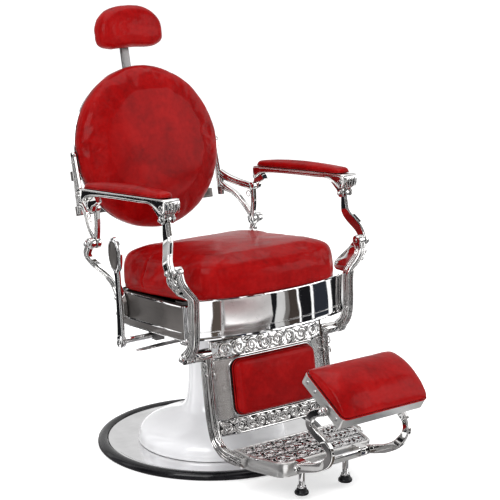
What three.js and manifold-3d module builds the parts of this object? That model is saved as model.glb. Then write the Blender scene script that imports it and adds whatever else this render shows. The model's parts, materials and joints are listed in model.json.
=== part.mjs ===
// Hydraulic barber chair as a jointed assembly.
// Millimetres, +Z up. The origin is on the swivel axis at floor level, the chair faces -Y, and the sitter's left is +X.
import * as THREE from "three";
import { mergeVertices } from "three/addons/utils/BufferGeometryUtils.js";
import Module from "manifold-3d";

const wasm = await Module();
wasm.setup();

// ---- driving dimensions ----
const GAP = 0.4; // between pieces that rest on each other
const BASE_R = 358; // outer radius of the rubber rim
const COVER_R = 231; // foot of the white column cover
const NECK_R = 74; // neck of the column cover
const NECK_TOP = 352;
const RAM_R = 37;
const RECLINE = [183, 642]; // y, z of the backrest pivots
const ARM_REAR = [180, 750]; // y, z of the armrest rear pins
const ARM_FRONT = [-243, 790]; // y, z of the armrest front pins
const LINK_LOW = [-302, 651]; // y, z of the front links' lower pins
const KNEE = [-275, 385]; // y, z of the leg rest hinge
const LEG_RAKE = 9.5; // degrees that the leg rest leans forward at the foot
const BACK_RAKE = 13; // degrees that the backrest leans back
const BACK_R = 258; // round backrest
const SEAT_RAKE = 5.7;
const FRAME_RAKE = 3.3;
const ARM_PIN = [-592, 116]; // y, z of the flip rest's hinge on the footplate
const PAD_PIN = [-738.6, 329.6]; // y, z of the foot pad's end pivots
const PAD_RAKE = 30.6; // degrees that the foot pad rises towards the chair
const SHAFT = [-25, 388]; // y, z of the pump lever's cross shaft

// ---- materials ----
const mat = (color, roughness, metalness) => new THREE.MeshStandardMaterial({ color, roughness, metalness });
const CHROME = mat(0xc9c9cc, 0.12, 1);
const STEEL = mat(0x8d8d90, 0.4, 1);
const RED = mat(0xa01a1c, 0.42, 0);
const BLACK = mat(0x141414, 0.45, 0);
const WHITE = mat(0xf1f1f4, 0.2, 0);
const SATIN = mat(0x4b4845, 0.35, 0.8);
const SHELL = mat(0xb9bac0, 0.3, 0.6);
const WOOD = mat(0x8a6b46, 0.7, 0);

// ---- solids ----
const rad = (d) => (d * Math.PI) / 180;
function solid(geometry) {
  const g = geometry.index ? geometry.toNonIndexed() : geometry.clone();
  g.deleteAttribute("normal");
  g.deleteAttribute("uv");
  const m = mergeVertices(g, 1e-3);
  const t = new Uint32Array(m.index.array);
  const make = () => new wasm.Manifold(new wasm.Mesh({ numProp: 3, vertProperties: m.attributes.position.array, triVerts: t }));
  let s = make();
  if (s.volume() < 0) {
    for (let i = 0; i < t.length; i += 3) [t[i + 1], t[i + 2]] = [t[i + 2], t[i + 1]];
    s = make();
  }
  return s;
}
function geometryOf(s) {
  const m = s.getMesh(), v = new Float32Array(m.numVert * 3);
  for (let i = 0; i < m.numVert; i++) v.set(m.vertProperties.subarray(i * m.numProp, i * m.numProp + 3), i * 3);
  const g = new THREE.BufferGeometry();
  g.setAttribute("position", new THREE.BufferAttribute(v, 3));
  g.setIndex(new THREE.BufferAttribute(new Uint32Array(m.triVerts), 1));
  g.computeVertexNormals();
  return g;
}
const join = (...a) => a.reduce((p, q) => p.add(q));
const cut = (a, ...b) => b.reduce((p, q) => p.subtract(q), a);
const box = (x0, x1, y0, y1, z0, z1) => solid(new THREE.BoxGeometry(x1 - x0, y1 - y0, z1 - z0).translate((x0 + x1) / 2, (y0 + y1) / 2, (z0 + z1) / 2));
function cylX(r, x0, x1, y, z, n = 16) {
  return solid(new THREE.CylinderGeometry(r, r, x1 - x0, n).rotateZ(-Math.PI / 2).translate((x0 + x1) / 2, y, z));
}
function cylY(r, y0, y1, x, z, n = 16) {
  return solid(new THREE.CylinderGeometry(r, r, y1 - y0, n).translate(x, (y0 + y1) / 2, z));
}
function cylZ(r, z0, z1, x, y, n = 16) {
  return solid(new THREE.CylinderGeometry(r, r, z1 - z0, n).rotateX(Math.PI / 2).translate(x, y, (z0 + z1) / 2));
}
function lathe(points, n) {
  return solid(new THREE.LatheGeometry(points.map((p) => new THREE.Vector2(p[0], p[1])), n).rotateX(Math.PI / 2));
}
// A closed outline in the YZ plane, extruded along X from x0 to x1.
function plateYZ(outline, x0, x1, holes = []) {
  const shape = new THREE.Shape(outline.map((p) => new THREE.Vector2(p[0], p[1])));
  holes.forEach((h) => shape.holes.push(new THREE.Path(h.map((p) => new THREE.Vector2(p[0], p[1])))));
  const g = new THREE.ExtrudeGeometry(shape, { depth: x1 - x0, bevelEnabled: false });
  g.applyMatrix4(new THREE.Matrix4().set(0, 0, 1, x0, 1, 0, 0, 0, 0, 1, 0, 0, 0, 0, 0, 1));
  return g;
}
// A closed outline in the XY plane, extruded from z0 to z1.
function plateXY(outline, z0, z1) {
  const shape = new THREE.Shape(outline.map((p) => new THREE.Vector2(p[0], p[1])));
  return new THREE.ExtrudeGeometry(shape, { depth: z1 - z0, bevelEnabled: false }).translate(0, 0, z0);
}
// The outline of a strip of the given half widths along a smooth centre line, with round ends.
function strip(points, half, steps = 16, ends = 5) {
  const c = new THREE.CatmullRomCurve3(points.map((p) => new THREE.Vector3(p[0], p[1], 0)), false, "centripetal");
  const left = [], right = [];
  const h = (t) => {
    if (typeof half === "number") return half;
    const f = t * (half.length - 1), i = Math.min(Math.floor(f), half.length - 2);
    return half[i] + (half[i + 1] - half[i]) * (f - i);
  };
  let first, last;
  for (let i = 0; i <= steps; i++) {
    const t = i / steps, p = c.getPointAt(t), d = c.getTangentAt(t), w = h(t);
    left.push([p.x - d.y * w, p.y + d.x * w]);
    right.push([p.x + d.y * w, p.y - d.x * w]);
    if (i === 0) first = [p, d, w];
    last = [p, d, w];
  }
  const cap = ([p, d, w], sign) => {
    const out = [];
    for (let k = 1; k < ends; k++) {
      const a = Math.PI / 2 - (Math.PI * k) / ends;
      out.push([p.x + sign * (d.x * Math.cos(a) - d.y * Math.sin(a)) * w, p.y + sign * (d.y * Math.cos(a) + d.x * Math.sin(a)) * w]);
    }
    return out;
  };
  return [...left, ...cap(last, 1), ...right.reverse(), ...cap(first, -1)];
}
const circle = (y, z, r, n = 16) => Array.from({ length: n }, (_, i) => [y + r * Math.cos((2 * Math.PI * i) / n), z + r * Math.sin((2 * Math.PI * i) / n)]);
// A bar of rectangular section lofted along a smooth YZ centre line, from x0 to x1, moved sideways by f(y, z).
function bar(points, half, x0, x1, f = () => 0, steps = 12) {
  const c = new THREE.CatmullRomCurve3(points.map((p) => new THREE.Vector3(0, p[0], p[1])), false, "centripetal");
  const pos = [], idx = [];
  for (let i = 0; i <= steps; i++) {
    const t = i / steps, p = c.getPointAt(t), d = c.getTangentAt(t), k = t * (half.length - 1), j = Math.min(Math.floor(k), half.length - 2);
    const w = half[j] + (half[j + 1] - half[j]) * (k - j), x = f(p.y, p.z);
    for (const [a, b] of [[x0, 1], [x1, 1], [x1, -1], [x0, -1]]) pos.push(a + x, p.y - d.z * w * b, p.z + d.y * w * b);
    if (i) for (let q = 0; q < 4; q++) {
      const A = (i - 1) * 4 + q, B = (i - 1) * 4 + ((q + 1) % 4);
      idx.push(A, B, B + 4, A, B + 4, A + 4);
    }
  }
  const L = steps * 4;
  idx.push(0, 2, 1, 0, 3, 2, L, L + 1, L + 2, L, L + 2, L + 3);
  const g = new THREE.BufferGeometry();
  g.setAttribute("position", new THREE.Float32BufferAttribute(pos, 3));
  g.setIndex(idx);
  return solid(g);
}
const smooth = (a, b, t) => {
  const u = Math.min(1, Math.max(0, (t - a) / (b - a)));
  return u * u * (3 - 2 * u);
};
// A rounded pad: an outline in XY swept up in layers that are drawn in by the given insets.
function pad(outline, layers) {
  const n = outline.length, pos = [], idx = [];
  let cx = 0, cy = 0;
  outline.forEach((p) => ((cx += p[0] / n), (cy += p[1] / n)));
  for (const [z, inset] of layers)
    for (const [x, y] of outline) {
      const d = Math.hypot(x - cx, y - cy) || 1, k = (d - inset) / d;
      pos.push(cx + (x - cx) * k, cy + (y - cy) * k, z);
    }
  for (let l = 0; l < layers.length - 1; l++)
    for (let i = 0; i < n; i++) {
      const a = l * n + i, b = l * n + ((i + 1) % n), c = a + n, d = b + n;
      idx.push(a, b, d, a, d, c);
    }
  const bot = pos.length / 3;
  pos.push(cx, cy, layers[0][0]);
  const top = pos.length / 3;
  pos.push(cx, cy, layers[layers.length - 1][2] ?? layers[layers.length - 1][0]);
  const L = (layers.length - 1) * n;
  for (let i = 0; i < n; i++) {
    idx.push(bot, (i + 1) % n, i);
    idx.push(top, L + i, L + ((i + 1) % n));
  }
  const g = new THREE.BufferGeometry();
  g.setAttribute("position", new THREE.Float32BufferAttribute(pos, 3));
  g.setIndex(idx);
  return g;
}
// A rounded rectangle in XY, counter-clockwise.
function roundRect(x0, x1, y0, y1, r, k = 5) {
  const out = [];
  for (const [cx, cy, a0] of [[x1 - r, y1 - r, 0], [x0 + r, y1 - r, 90], [x0 + r, y0 + r, 180], [x1 - r, y0 + r, 270]])
    for (let i = 0; i <= k; i++) {
      const a = rad(a0 + (90 * i) / k);
      out.push([cx + r * Math.cos(a), cy + r * Math.sin(a)]);
    }
  return out;
}

// ---- assembly ----
const chair = new THREE.Group();
function add(name, made, material, parent = chair) {
  const mesh = new THREE.Mesh(made.isBufferGeometry ? geometryOf(solid(made)) : geometryOf(made), material);
  mesh.name = name;
  parent.add(mesh);
  return mesh;
}
function frameAt(y, z, degrees) {
  const g = new THREE.Group();
  g.position.set(0, y, z);
  g.rotation.x = rad(degrees);
  chair.add(g);
  return g;
}
const SIDES = [["left", 1], ["right", -1]];
// A solid drawn on the +X side, mirrored for the other side.
const sided = (s, sign) => (sign > 0 ? s : s.mirror([1, 0, 0]));

// Base: a steel plate on the floor, a polished cover, a rubber rim and a white bell-shaped column cover.
add("base_plate", cylZ(324, 0, 7.6, 0, 0, 40), STEEL);
add("base_disc", lathe([[62, 8], [326, 8], [326, 16], [307, 11.5], [62, 11.5], [62, 8]], 40), CHROME);
add("base_rim", lathe([[328, 0], [354, 0], [BASE_R, 6], [355, 17], [341, 23], [328, 19], [328, 0]], 48), BLACK);
add("column_cover", lathe([
  [COVER_R, 12], [COVER_R, 32], [222, 52], [206, 66], [153, 88], [104, 109], [83, 135], [NECK_R, 180], [NECK_R, NECK_TOP],
  [NECK_R - 4, NECK_TOP], [NECK_R - 4, 178], [79, 132], [100, 105], [149, 84], [202, 62], [217, 50], [226, 32], [226, 12], [COVER_R, 12]], 32), WHITE);
add("pump_cylinder", lathe([[0, 8], [58, 8], [58, 340], [RAM_R + 1.5, 340], [RAM_R + 1.5, 24], [0, 24]], 28), STEEL);
add("column_collar", lathe([[RAM_R + 2, NECK_TOP + GAP], [76, NECK_TOP + GAP], [76, 360], [70, 363], [RAM_R + 2, 363], [RAM_R + 2, NECK_TOP + GAP]], 24), BLACK);
add("lift_ram", lathe([[0, 30], [RAM_R, 30], [RAM_R, 366], [62, 370], [62, 380], [0, 380]], 28), STEEL);

// Turning frame: the swivel plate carries the raked seat box between the front and rear castings.
const SLOPE = Math.tan(rad(FRAME_RAKE)), FRAME_Z = 405.5;
const plateTop = (y) => FRAME_Z + 6 - GAP - SLOPE * y;
add("swivel_plate", join(cylZ(75, 381, 394, 0, 0, 28), solid(plateYZ([[-125, 392], [125, 392], [125, plateTop(125)], [-125, plateTop(-125)]], -112, 112))), STEEL);
const seatBox = frameAt(0, FRAME_Z, -FRAME_RAKE);
add("seat_frame", box(-243.4, 243.4, -232, 106, 6, 17), STEEL, seatBox);
add("seat_crossbar_front", box(-243.4, 243.4, -200, -168, 17 + GAP, 110), STEEL, seatBox);
add("seat_crossbar_rear", box(-243.4, 243.4, 62, 94, 17 + GAP, 98), STEEL, seatBox);
for (const [side, sign] of SIDES) {
  const panel = cut(
    solid(plateXY([[244, -226], [247, -236], [253, -240], [259, -236], [262, -226], [262, 112], [244, 112]], 0, 105)),
    box(260.6, 264, -300, 120, 23.5, 26.5),
  );
  add("side_panel_" + side, sided(panel, sign), SATIN, seatBox);
}
const bow = (half, y0, y1, t, z0, z1, n = 14) => {
  const f = [], b = [];
  for (let i = 0; i <= n; i++) {
    const x = -half + (2 * half * i) / n, k = 1 - (x / half) ** 2;
    f.push([x, y0 + (y1 - y0) * k]);
    b.push([x, y0 + (y1 - y0) * k + t]);
  }
  return plateXY([...f, ...b.reverse()], z0, z1);
};
add("front_apron", join(solid(bow(266.5, -304, -352, 7, 446, 558)), solid(bow(266.5, -306, -355, 10, 440, 448))), CHROME);
add("rear_panel", solid(bow(243, 122, 148, -6, 412, 508)), CHROME);
const seat = frameAt(0, 529.5, -SEAT_RAKE);
add("seat_board", plateXY([...roundRect(-240, 240, -300, 112, 40, 3)], -15, -GAP), WOOD, seat);
{
  const out = [];
  const front = (x) => -352 + 44 * (x / 262) ** 2;
  for (let i = 0; i <= 10; i++) {
    const x = -205 + 41 * i;
    out.push([x, front(x)]);
  }
  out.push([240, -298], [257, -270], [263, -238], [264, -100], [264, 52], [254, 104], [226, 138], [170, 150], [60, 153], [-60, 153], [-170, 150], [-226, 138], [-254, 104], [-264, 52], [-264, -100], [-263, -238], [-257, -270], [-240, -298]);
  add("seat_cushion", pad(out, [[0, 12], [14, 2], [40, 0], [78, 1], [98, 12], [108, 38], [112, 90, 116]]), RED, seat);
}
for (const [side, sign] of SIDES) {
  // Front casting: knee lug at the foot, straight upright, then an S bend out to the link pin.
  const out = (y, z) => 49 * smooth(556, 632, z);
  const f = cut(
    join(bar([[-278, 388], [-297, 410], [-310, 440], [-311, 548], [-312, 580], [-314, 610], [-309, 634], [-303, 649]], [15, 14, 14, 14, 14, 14], 272, 296, out, 16), cylX(17, 272, 296, KNEE[0], KNEE[1], 18), cylX(16, 321, 345, LINK_LOW[0], LINK_LOW[1], 18)),
    cylX(7.6, 260, 300, KNEE[0], KNEE[1], 16), cylX(6.6, 310, 350, LINK_LOW[0], LINK_LOW[1], 14),
  );
  add("side_casting_" + side, sided(f, sign), CHROME);
  // Rear casting: from the recline pivot down and forward to the side panel.
  const rear = cut(join(bar([[187, 638], [204, 606], [190, 572], [150, 543], [108, 512], [84, 470], [80, 425]], [12, 12, 12, 13, 16, 19, 18], 263, 283, (y, z) => 44 * smooth(530, 612, z), 16), cylX(17, 307, 327, RECLINE[0], RECLINE[1], 18)), cylX(7.6, 300, 335, RECLINE[0], RECLINE[1], 16));
  add("rear_casting_" + side, sided(rear, sign), CHROME);
  add("recline_pin_" + side, sided(join(cylX(7, 284, 329, RECLINE[0], RECLINE[1], 14), cylX(11, 327.6, 333, RECLINE[0], RECLINE[1], 12)), sign), STEEL);
  add("knee_pin_" + side, sided(join(cylX(7, 236, 299, KNEE[0], KNEE[1], 14), cylX(11, 297, 302, KNEE[0], KNEE[1], 12)), sign), STEEL);
}
add("pump_bracket", cut(box(-236, -206, -46, -4, 376, 411), cylX(9.8, -240, -200, SHAFT[0], SHAFT[1], 20)), STEEL);
// Pump lever on the sitter's right: a flat bar with an oval hand paddle, fixed to its cross shaft.
{
  const arm = bar([SHAFT, [-23, 440], [-17, 520], [-12, 575], [-6, 612]], [18, 13, 11, 9, 16], -351, -339, undefined, 8);
  const paddle = strip([[-5, 618], [2, 652], [8, 672]], [24, 31, 27], 4, 6);
  add("pump_lever", join(arm, cylX(19, -351, -339, SHAFT[0], SHAFT[1], 16), solid(plateYZ(paddle, -351.5, -338.5)), cylX(9, -345, -116, SHAFT[0], SHAFT[1], 16)), CHROME);
}
// Recline release: a blade handle that is lifted at its outer end.
add("recline_lever", join(
  cylY(9, -112, -88, -124, 381),
  solid(plateXY([[-128, -108], [-128, -92], [-200, -90], [-300, -86], [-338, -92], [-345, -100], [-338, -108], [-300, -114], [-200, -110]], 377, 385)),
), CHROME);

// Backrest: round cushion on a dished shell, carried by two side brackets and two cross straps.
const back = frameAt(RECLINE[0], RECLINE[1], -BACK_RAKE);
const BACK_C = [95.5, 275.5]; // y, z of the cushion's middle in the backrest's own frame
const disc = (pts, n) => {
  const g = new THREE.LatheGeometry(pts.map((p) => new THREE.Vector2(p[0], p[1])), n);
  return solid(g.translate(0, BACK_C[0], BACK_C[1]));
};
add("back_cushion", disc([[0, -47], [110, -45], [190, -38], [232, -24], [252, -6], [BACK_R, 14], [252, 26], [0, 28]], 40), RED, back);
add("back_shell", disc([[0, 28.5], [250, 28.5], [251, 34], [236, 45], [190, 54], [0, 58]], 40), SHELL, back);
add("back_strap_upper", box(-260.4, 260.4, BACK_C[0] + 58.6, BACK_C[0] + 66, 196, 226), STEEL, back);
add("back_strap_lower", box(-260.4, 260.4, BACK_C[0] + 58.6, BACK_C[0] + 66, 86, 116), STEEL, back);
for (const [side, sign] of SIDES) {
  // Y bracket: recline eye below, armrest eye above, two arms that run back and inward to a tail on the shell's side.
  const inward = (y) => -27 * smooth(205, 318, y);
  const b = cut(
    join(
      bar([RECLINE, [176, 696], ARM_REAR], [10, 8, 9], 288, 304, undefined, 3),
      bar([[182, 740], [250, 752], [322, 774]], [9, 9, 11], 288, 304, inward, 6),
      bar([[186, 650], [222, 686], [262, 722], [322, 742]], [10, 9, 9, 12], 288, 304, inward, 8),
      bar([[318, 706], [326, 760], [342, 832], [354, 884]], [12, 15, 11, 9], 261, 277, undefined, 4),
      cylX(17, 288, 304, RECLINE[0], RECLINE[1], 18), cylX(12, 288, 304, ARM_REAR[0], ARM_REAR[1], 14),
    ),
    cylX(7.6, 280, 310, RECLINE[0], RECLINE[1], 16), cylX(5.6, 280, 310, ARM_REAR[0], ARM_REAR[1], 14),
  );
  add("back_bracket_" + side, sided(b, sign), CHROME);
}
add("headrest_socket", cut(box(-26, 26, BACK_C[0] + 58.6, BACK_C[0] + 78, 452, 520), box(-16.2, 16.2, BACK_C[0] + 60.6, BACK_C[0] + 73.4, 440, 530)), CHROME, back);
add("headrest_post", join(box(-15.5, 15.5, BACK_C[0] + 61.4, BACK_C[0] + 72.6, 380, 655), box(-30, 30, BACK_C[0] + 49.8, BACK_C[0] + 66, 630, 676)), CHROME, back);
{
  const o = roundRect(-121, 121, -67, 67, 52, 5).map(([x, z]) => [x, z]);
  const g = pad(o, [[0, 8], [10, 1], [30, 0], [44, 5], [54, 16], [58, 34, 62]]);
  g.rotateX(Math.PI / 2).translate(0, BACK_C[0] + 49.4, 655);
  add("headrest_pad", solid(g), RED, back);
}
add("headrest_knob", join(cylY(4, BACK_C[0] + 79, BACK_C[0] + 92, 0, 486, 10), cylY(13, BACK_C[0] + 90, BACK_C[0] + 104, 0, 486, 14)), BLACK, back);

// Armrests and their front links.
for (const [side, sign] of SIDES) {
  const zt = (y) => 818 - 0.08 * (y - 150); // top of the armrest casting
  const cap = [[185, zt(185) - 3], [178, zt(178)], [-262, zt(-262)], [-270, zt(-262) - 5], [-270, zt(-262) - 36], [-250, zt(-250) - 40], [-225, zt(-225) - 34], [-190, zt(-190) - 24], [-120, zt(-120) - 17], [60, zt(60) - 15], [110, zt(110) - 17], [150, zt(150) - 24], [172, zt(172) - 40], [185, zt(185) - 40]];
  const plate = solid(plateYZ(cap, 297, 351));
  const rearLeg = join(bar([[172, 806], [180, 778], ARM_REAR], [18, 13, 12], 306, 320, undefined, 4), cylX(13, 306, 320, ARM_REAR[0], ARM_REAR[1], 14));
  const ear = (x0, x1) => join(bar([[-246, 820], [-244, 806], ARM_FRONT], [16, 13, 12], x0, x1, undefined, 2), cylX(12, x0, x1, ARM_FRONT[0], ARM_FRONT[1], 14));
  // The pin between the ears carries the link's upper eye, and the stub at the rear turns in the back bracket.
  const arm = join(plate, rearLeg, ear(305, 312), ear(338, 345), cylX(5, 300, 349, ARM_FRONT[0], ARM_FRONT[1], 12), cylX(5, 287, 324, ARM_REAR[0], ARM_REAR[1], 12));
  add("armrest_" + side, sided(arm, sign), CHROME);
  const padOut = roundRect(300, 348, -246, 176, 18, 3);
  const p = pad(padOut, [[0, 3], [5, 0], [11, 4], [15, 12, 19]]);
  const pp = p.attributes.position;
  for (let i = 0; i < pp.count; i++) pp.setZ(i, pp.getZ(i) + zt(pp.getY(i)) + GAP);
  add("arm_pad_" + side, sided(solid(p), sign), RED);
  // Front link: lower stub pin in the casting, curved bar, upper eye on the armrest's pin.
  const link = cut(
    join(bar([LINK_LOW, [-284, 688], [-256, 732], ARM_FRONT], [14, 12, 12, 12], 347, 361, (y, z) => -29 * smooth(668, 742, z), 10), cylX(16, 347, 361, LINK_LOW[0], LINK_LOW[1], 16), cylX(14, 318, 332, ARM_FRONT[0], ARM_FRONT[1], 16)),
    cylX(8.8, 310, 340, ARM_FRONT[0], ARM_FRONT[1], 16),
  );
  add("front_link_" + side, sided(join(link, cylX(6, 322, 366, LINK_LOW[0], LINK_LOW[1], 12)), sign), CHROME);
}

// Leg rest: two rails with a bowed front between them, a calf pad and a footplate on rods with rubber feet.
const leg = frameAt(KNEE[0], KNEE[1], -LEG_RAKE);
for (const [side, sign] of SIDES) {
  const rail = join(bar([[0, 0], [4, -30], [6, -90], [4, -200], [-8, -252], [-44, -284], [-90, -296], [-128, -303]], [14, 14, 14, 14, 14, 15, 16, 16], 206, 228, (y) => -3 * smooth(-20, -120, y), 14), cylX(17, 206, 228, 0, 0, 18));
  const lug = cylX(17, 226, 264, 0, 0, 18);
  add("leg_rail_" + side, sided(cut(join(rail, lug), cylX(7.6, 200, 268, 0, 0, 16)), sign), CHROME, leg);
}
const legPlan = (t) => {
  const f = [[-205, -3], [-180, -9], [-155, -17], [-120, -20], [0, -22], [120, -20], [155, -17], [180, -9], [205, -3]];
  return [...f, ...f.map(([x, y]) => [x, y + t]).reverse()];
};
add("leg_panel_top", plateXY(legPlan(6), -22, 36), CHROME, leg);
add("leg_panel_middle", plateXY(legPlan(5), -196, -22 - GAP), CHROME, leg);
add("leg_panel_bottom", plateXY(legPlan(6), -246, -196 - GAP), CHROME, leg);
{
  const g = pad(roundRect(-148, 148, -82, 82, 26, 4), [[0, 5], [6, 0], [14, 3], [19, 12, 23]]);
  g.rotateX(Math.PI / 2).translate(0, -22.4, -109);
  add("calf_pad", solid(g), RED, leg);
}
const FP = [[-202, -385], [202, -385], [202, -452], [172, -548], [163, -560], [147, -566], [-147, -566], [-163, -560], [-172, -548], [-202, -452]];
const FPI = [[-197, -380], [197, -380], [196, -450], [166, -545], [158, -555], [144, -560], [-144, -560], [-158, -555], [-166, -545], [-196, -450]];
const lugs = [];
for (const s of [1, -1]) {
  lugs.push(cut(join(box(Math.min(s * 108, s * 119), Math.max(s * 108, s * 119), ARM_PIN[0], -564, 102, 127), cylX(15, Math.min(s * 108, s * 119), Math.max(s * 108, s * 119), ARM_PIN[0], ARM_PIN[1], 16)), cylX(6.6, -130, 130, ARM_PIN[0], ARM_PIN[1], 16)));
}
add("foot_plate", join(cut(solid(plateXY(FP.slice().reverse(), 84, 127)), solid(plateXY(FPI.slice().reverse(), 80, 119))), ...lugs), CHROME);
for (const [side, sign] of SIDES) {
  add("foot_rod_" + side, cylZ(9, 33.4, 118.6, sign * 81, -548, 14), STEEL);
  const f = solid(new THREE.LatheGeometry([[0, 13.5], [17, 13.5], [20, 17], [20, 27], [16, 33], [0, 33]].map((p) => new THREE.Vector2(...p)), 20).rotateX(Math.PI / 2).translate(sign * 81, -548, 0));
  add("rubber_foot_" + side, f, BLACK);
}

// Flip-over foot pad on two S-shaped arms.
add("rest_arm_shaft", cylX(6, -119.6, 119.6, ARM_PIN[0], ARM_PIN[1], 16), STEEL);
for (const [side, sign] of SIDES) {
  const path = [ARM_PIN, [-634, 129], [-674, 143], [-718, 170], [-740, 206], [-728, 234], [-696, 254], [-678, 276], [-690, 306], PAD_PIN];
  const arm = cut(join(bar(path, [12, 12, 11, 11, 11, 11, 10, 10, 10, 11], 120, 133, (y, z) => 35 * smooth(150, 300, z), 18), cylX(14, 120, 133, ARM_PIN[0], ARM_PIN[1], 16), cylX(13, 155, 168, PAD_PIN[0], PAD_PIN[1], 16)), cylX(5.6, 150, 175, PAD_PIN[0], PAD_PIN[1], 14));
  add("rest_arm_" + side, sided(arm, sign), CHROME);
}
const rest = frameAt(PAD_PIN[0], PAD_PIN[1], PAD_RAKE);
{
  const tray = cut(box(-152, 152, -62, 122, -10.5, 26), box(-148, 148, -58, 118, -20, 22));
  add("foot_pad_tray", join(tray, cylX(5, 148, 172, 0, 0, 12), cylX(5, -172, -148, 0, 0, 12)), SATIN, rest);
  const out = roundRect(-154, 154, -66, 124, 16, 3);
  const g = pad(out, [[0, 2], [6, 0], [14, 3], [24, 14], [33, 34], [38, 60, 42]]);
  g.translate(0, 0, 26 + GAP);
  add("foot_pad_cushion", solid(g), RED, rest);
}

export default chair;
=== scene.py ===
import json
import math

import bmesh
import bpy
import numpy as np
from mathutils import Matrix, Vector, noise

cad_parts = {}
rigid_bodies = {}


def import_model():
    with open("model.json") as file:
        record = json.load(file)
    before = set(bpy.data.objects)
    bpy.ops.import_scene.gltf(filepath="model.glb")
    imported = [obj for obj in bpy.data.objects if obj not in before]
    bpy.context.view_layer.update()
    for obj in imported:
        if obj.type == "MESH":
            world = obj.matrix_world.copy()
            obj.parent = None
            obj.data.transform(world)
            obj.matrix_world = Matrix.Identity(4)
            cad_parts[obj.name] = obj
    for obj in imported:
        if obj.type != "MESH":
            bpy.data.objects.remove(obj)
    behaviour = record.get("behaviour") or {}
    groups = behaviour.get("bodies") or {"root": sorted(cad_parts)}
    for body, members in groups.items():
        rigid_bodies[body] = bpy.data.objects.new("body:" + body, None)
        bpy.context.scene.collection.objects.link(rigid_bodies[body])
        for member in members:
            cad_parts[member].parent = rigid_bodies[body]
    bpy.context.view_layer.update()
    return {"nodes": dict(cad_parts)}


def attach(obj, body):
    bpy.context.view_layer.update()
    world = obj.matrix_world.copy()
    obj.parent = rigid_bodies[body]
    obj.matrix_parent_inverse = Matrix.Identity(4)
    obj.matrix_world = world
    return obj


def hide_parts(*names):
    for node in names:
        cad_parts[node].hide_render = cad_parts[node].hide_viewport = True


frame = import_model()
NODES = frame["nodes"]
MM = 0.001

# ------------------------------------------------------------------ frames and sizes (mm, as in the CAD)
RECLINE, ARM_REAR, ARM_FRONT, LINK_LOW = (183, 642), (180, 750), (-243, 790), (-302, 651)
KNEE, ARM_PIN, PAD_PIN, SHAFT = (-275, 385), (-592, 116), (-738.6, 329.6), (-25, 388)
BACK_C = (95.5, 275.5)


def at(y, z, degrees):
    return Matrix.Translation((0, y, z)) @ Matrix.Rotation(math.radians(degrees), 4, "X")


SEATBOX, SEAT, BACK = at(0, 405.5, -3.3), at(0, 529.5, -5.7), at(RECLINE[0], RECLINE[1], -13)
LEG, REST, WORLD = at(KNEE[0], KNEE[1], -9.5), at(PAD_PIN[0], PAD_PIN[1], 30.6), Matrix.Identity(4)


def smooth(a, b, t):
    u = min(1.0, max(0.0, (t - a) / (b - a)))
    return u * u * (3 - 2 * u)


# ------------------------------------------------------------------ node materials
def shader(name, color, rough, metal=0.0, **direct):
    m = bpy.data.materials.new(name)
    m.use_nodes = True
    t = m.node_tree
    p = t.nodes["Principled BSDF"]
    p.inputs["Base Color"].default_value = (*color, 1)
    p.inputs["Roughness"].default_value = rough
    p.inputs["Metallic"].default_value = metal
    for k, v in direct.items():
        p.inputs[k.replace("_", " ")].default_value = v
    co = t.nodes.new("ShaderNodeTexCoord")
    return m, t, p, co


def tex_noise(t, co, scale, detail=4.0, rough=0.5, stretch=None, distortion=0.0):
    n = t.nodes.new("ShaderNodeTexNoise")
    n.inputs["Scale"].default_value = scale
    n.inputs["Detail"].default_value = detail
    n.inputs["Roughness"].default_value = rough
    n.inputs["Distortion"].default_value = distortion
    if stretch:
        mp = t.nodes.new("ShaderNodeMapping")
        mp.inputs["Scale"].default_value = stretch
        t.links.new(co.outputs["Object"], mp.inputs["Vector"])
        t.links.new(mp.outputs["Vector"], n.inputs["Vector"])
    else:
        t.links.new(co.outputs["Object"], n.inputs["Vector"])
    return n.outputs["Fac"]


def ramp(t, fac, stops):
    r = t.nodes.new("ShaderNodeValToRGB")
    e = r.color_ramp.elements
    while len(e) < len(stops):
        e.new(0.5)
    for el, (pos, c) in zip(e, stops):
        el.position = pos
        el.color = (*c, 1) if len(c) == 3 else c
    t.links.new(fac, r.inputs["Fac"])
    return r.outputs["Color"]


def spread(t, fac, a, b):
    r = t.nodes.new("ShaderNodeMapRange")
    r.inputs["From Min"].default_value = 0.3
    r.inputs["From Max"].default_value = 0.7
    r.inputs["To Min"].default_value = a
    r.inputs["To Max"].default_value = b
    t.links.new(fac, r.inputs["Value"])
    return r.outputs["Result"]


def bump(t, p, height, strength, dist, before=None):
    b = t.nodes.new("ShaderNodeBump")
    b.inputs["Strength"].default_value = strength
    b.inputs["Distance"].default_value = dist
    t.links.new(height, b.inputs["Height"])
    if before:
        t.links.new(before, b.inputs["Normal"])
    t.links.new(b.outputs["Normal"], p.inputs["Normal"])
    return b.outputs["Normal"]


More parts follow.
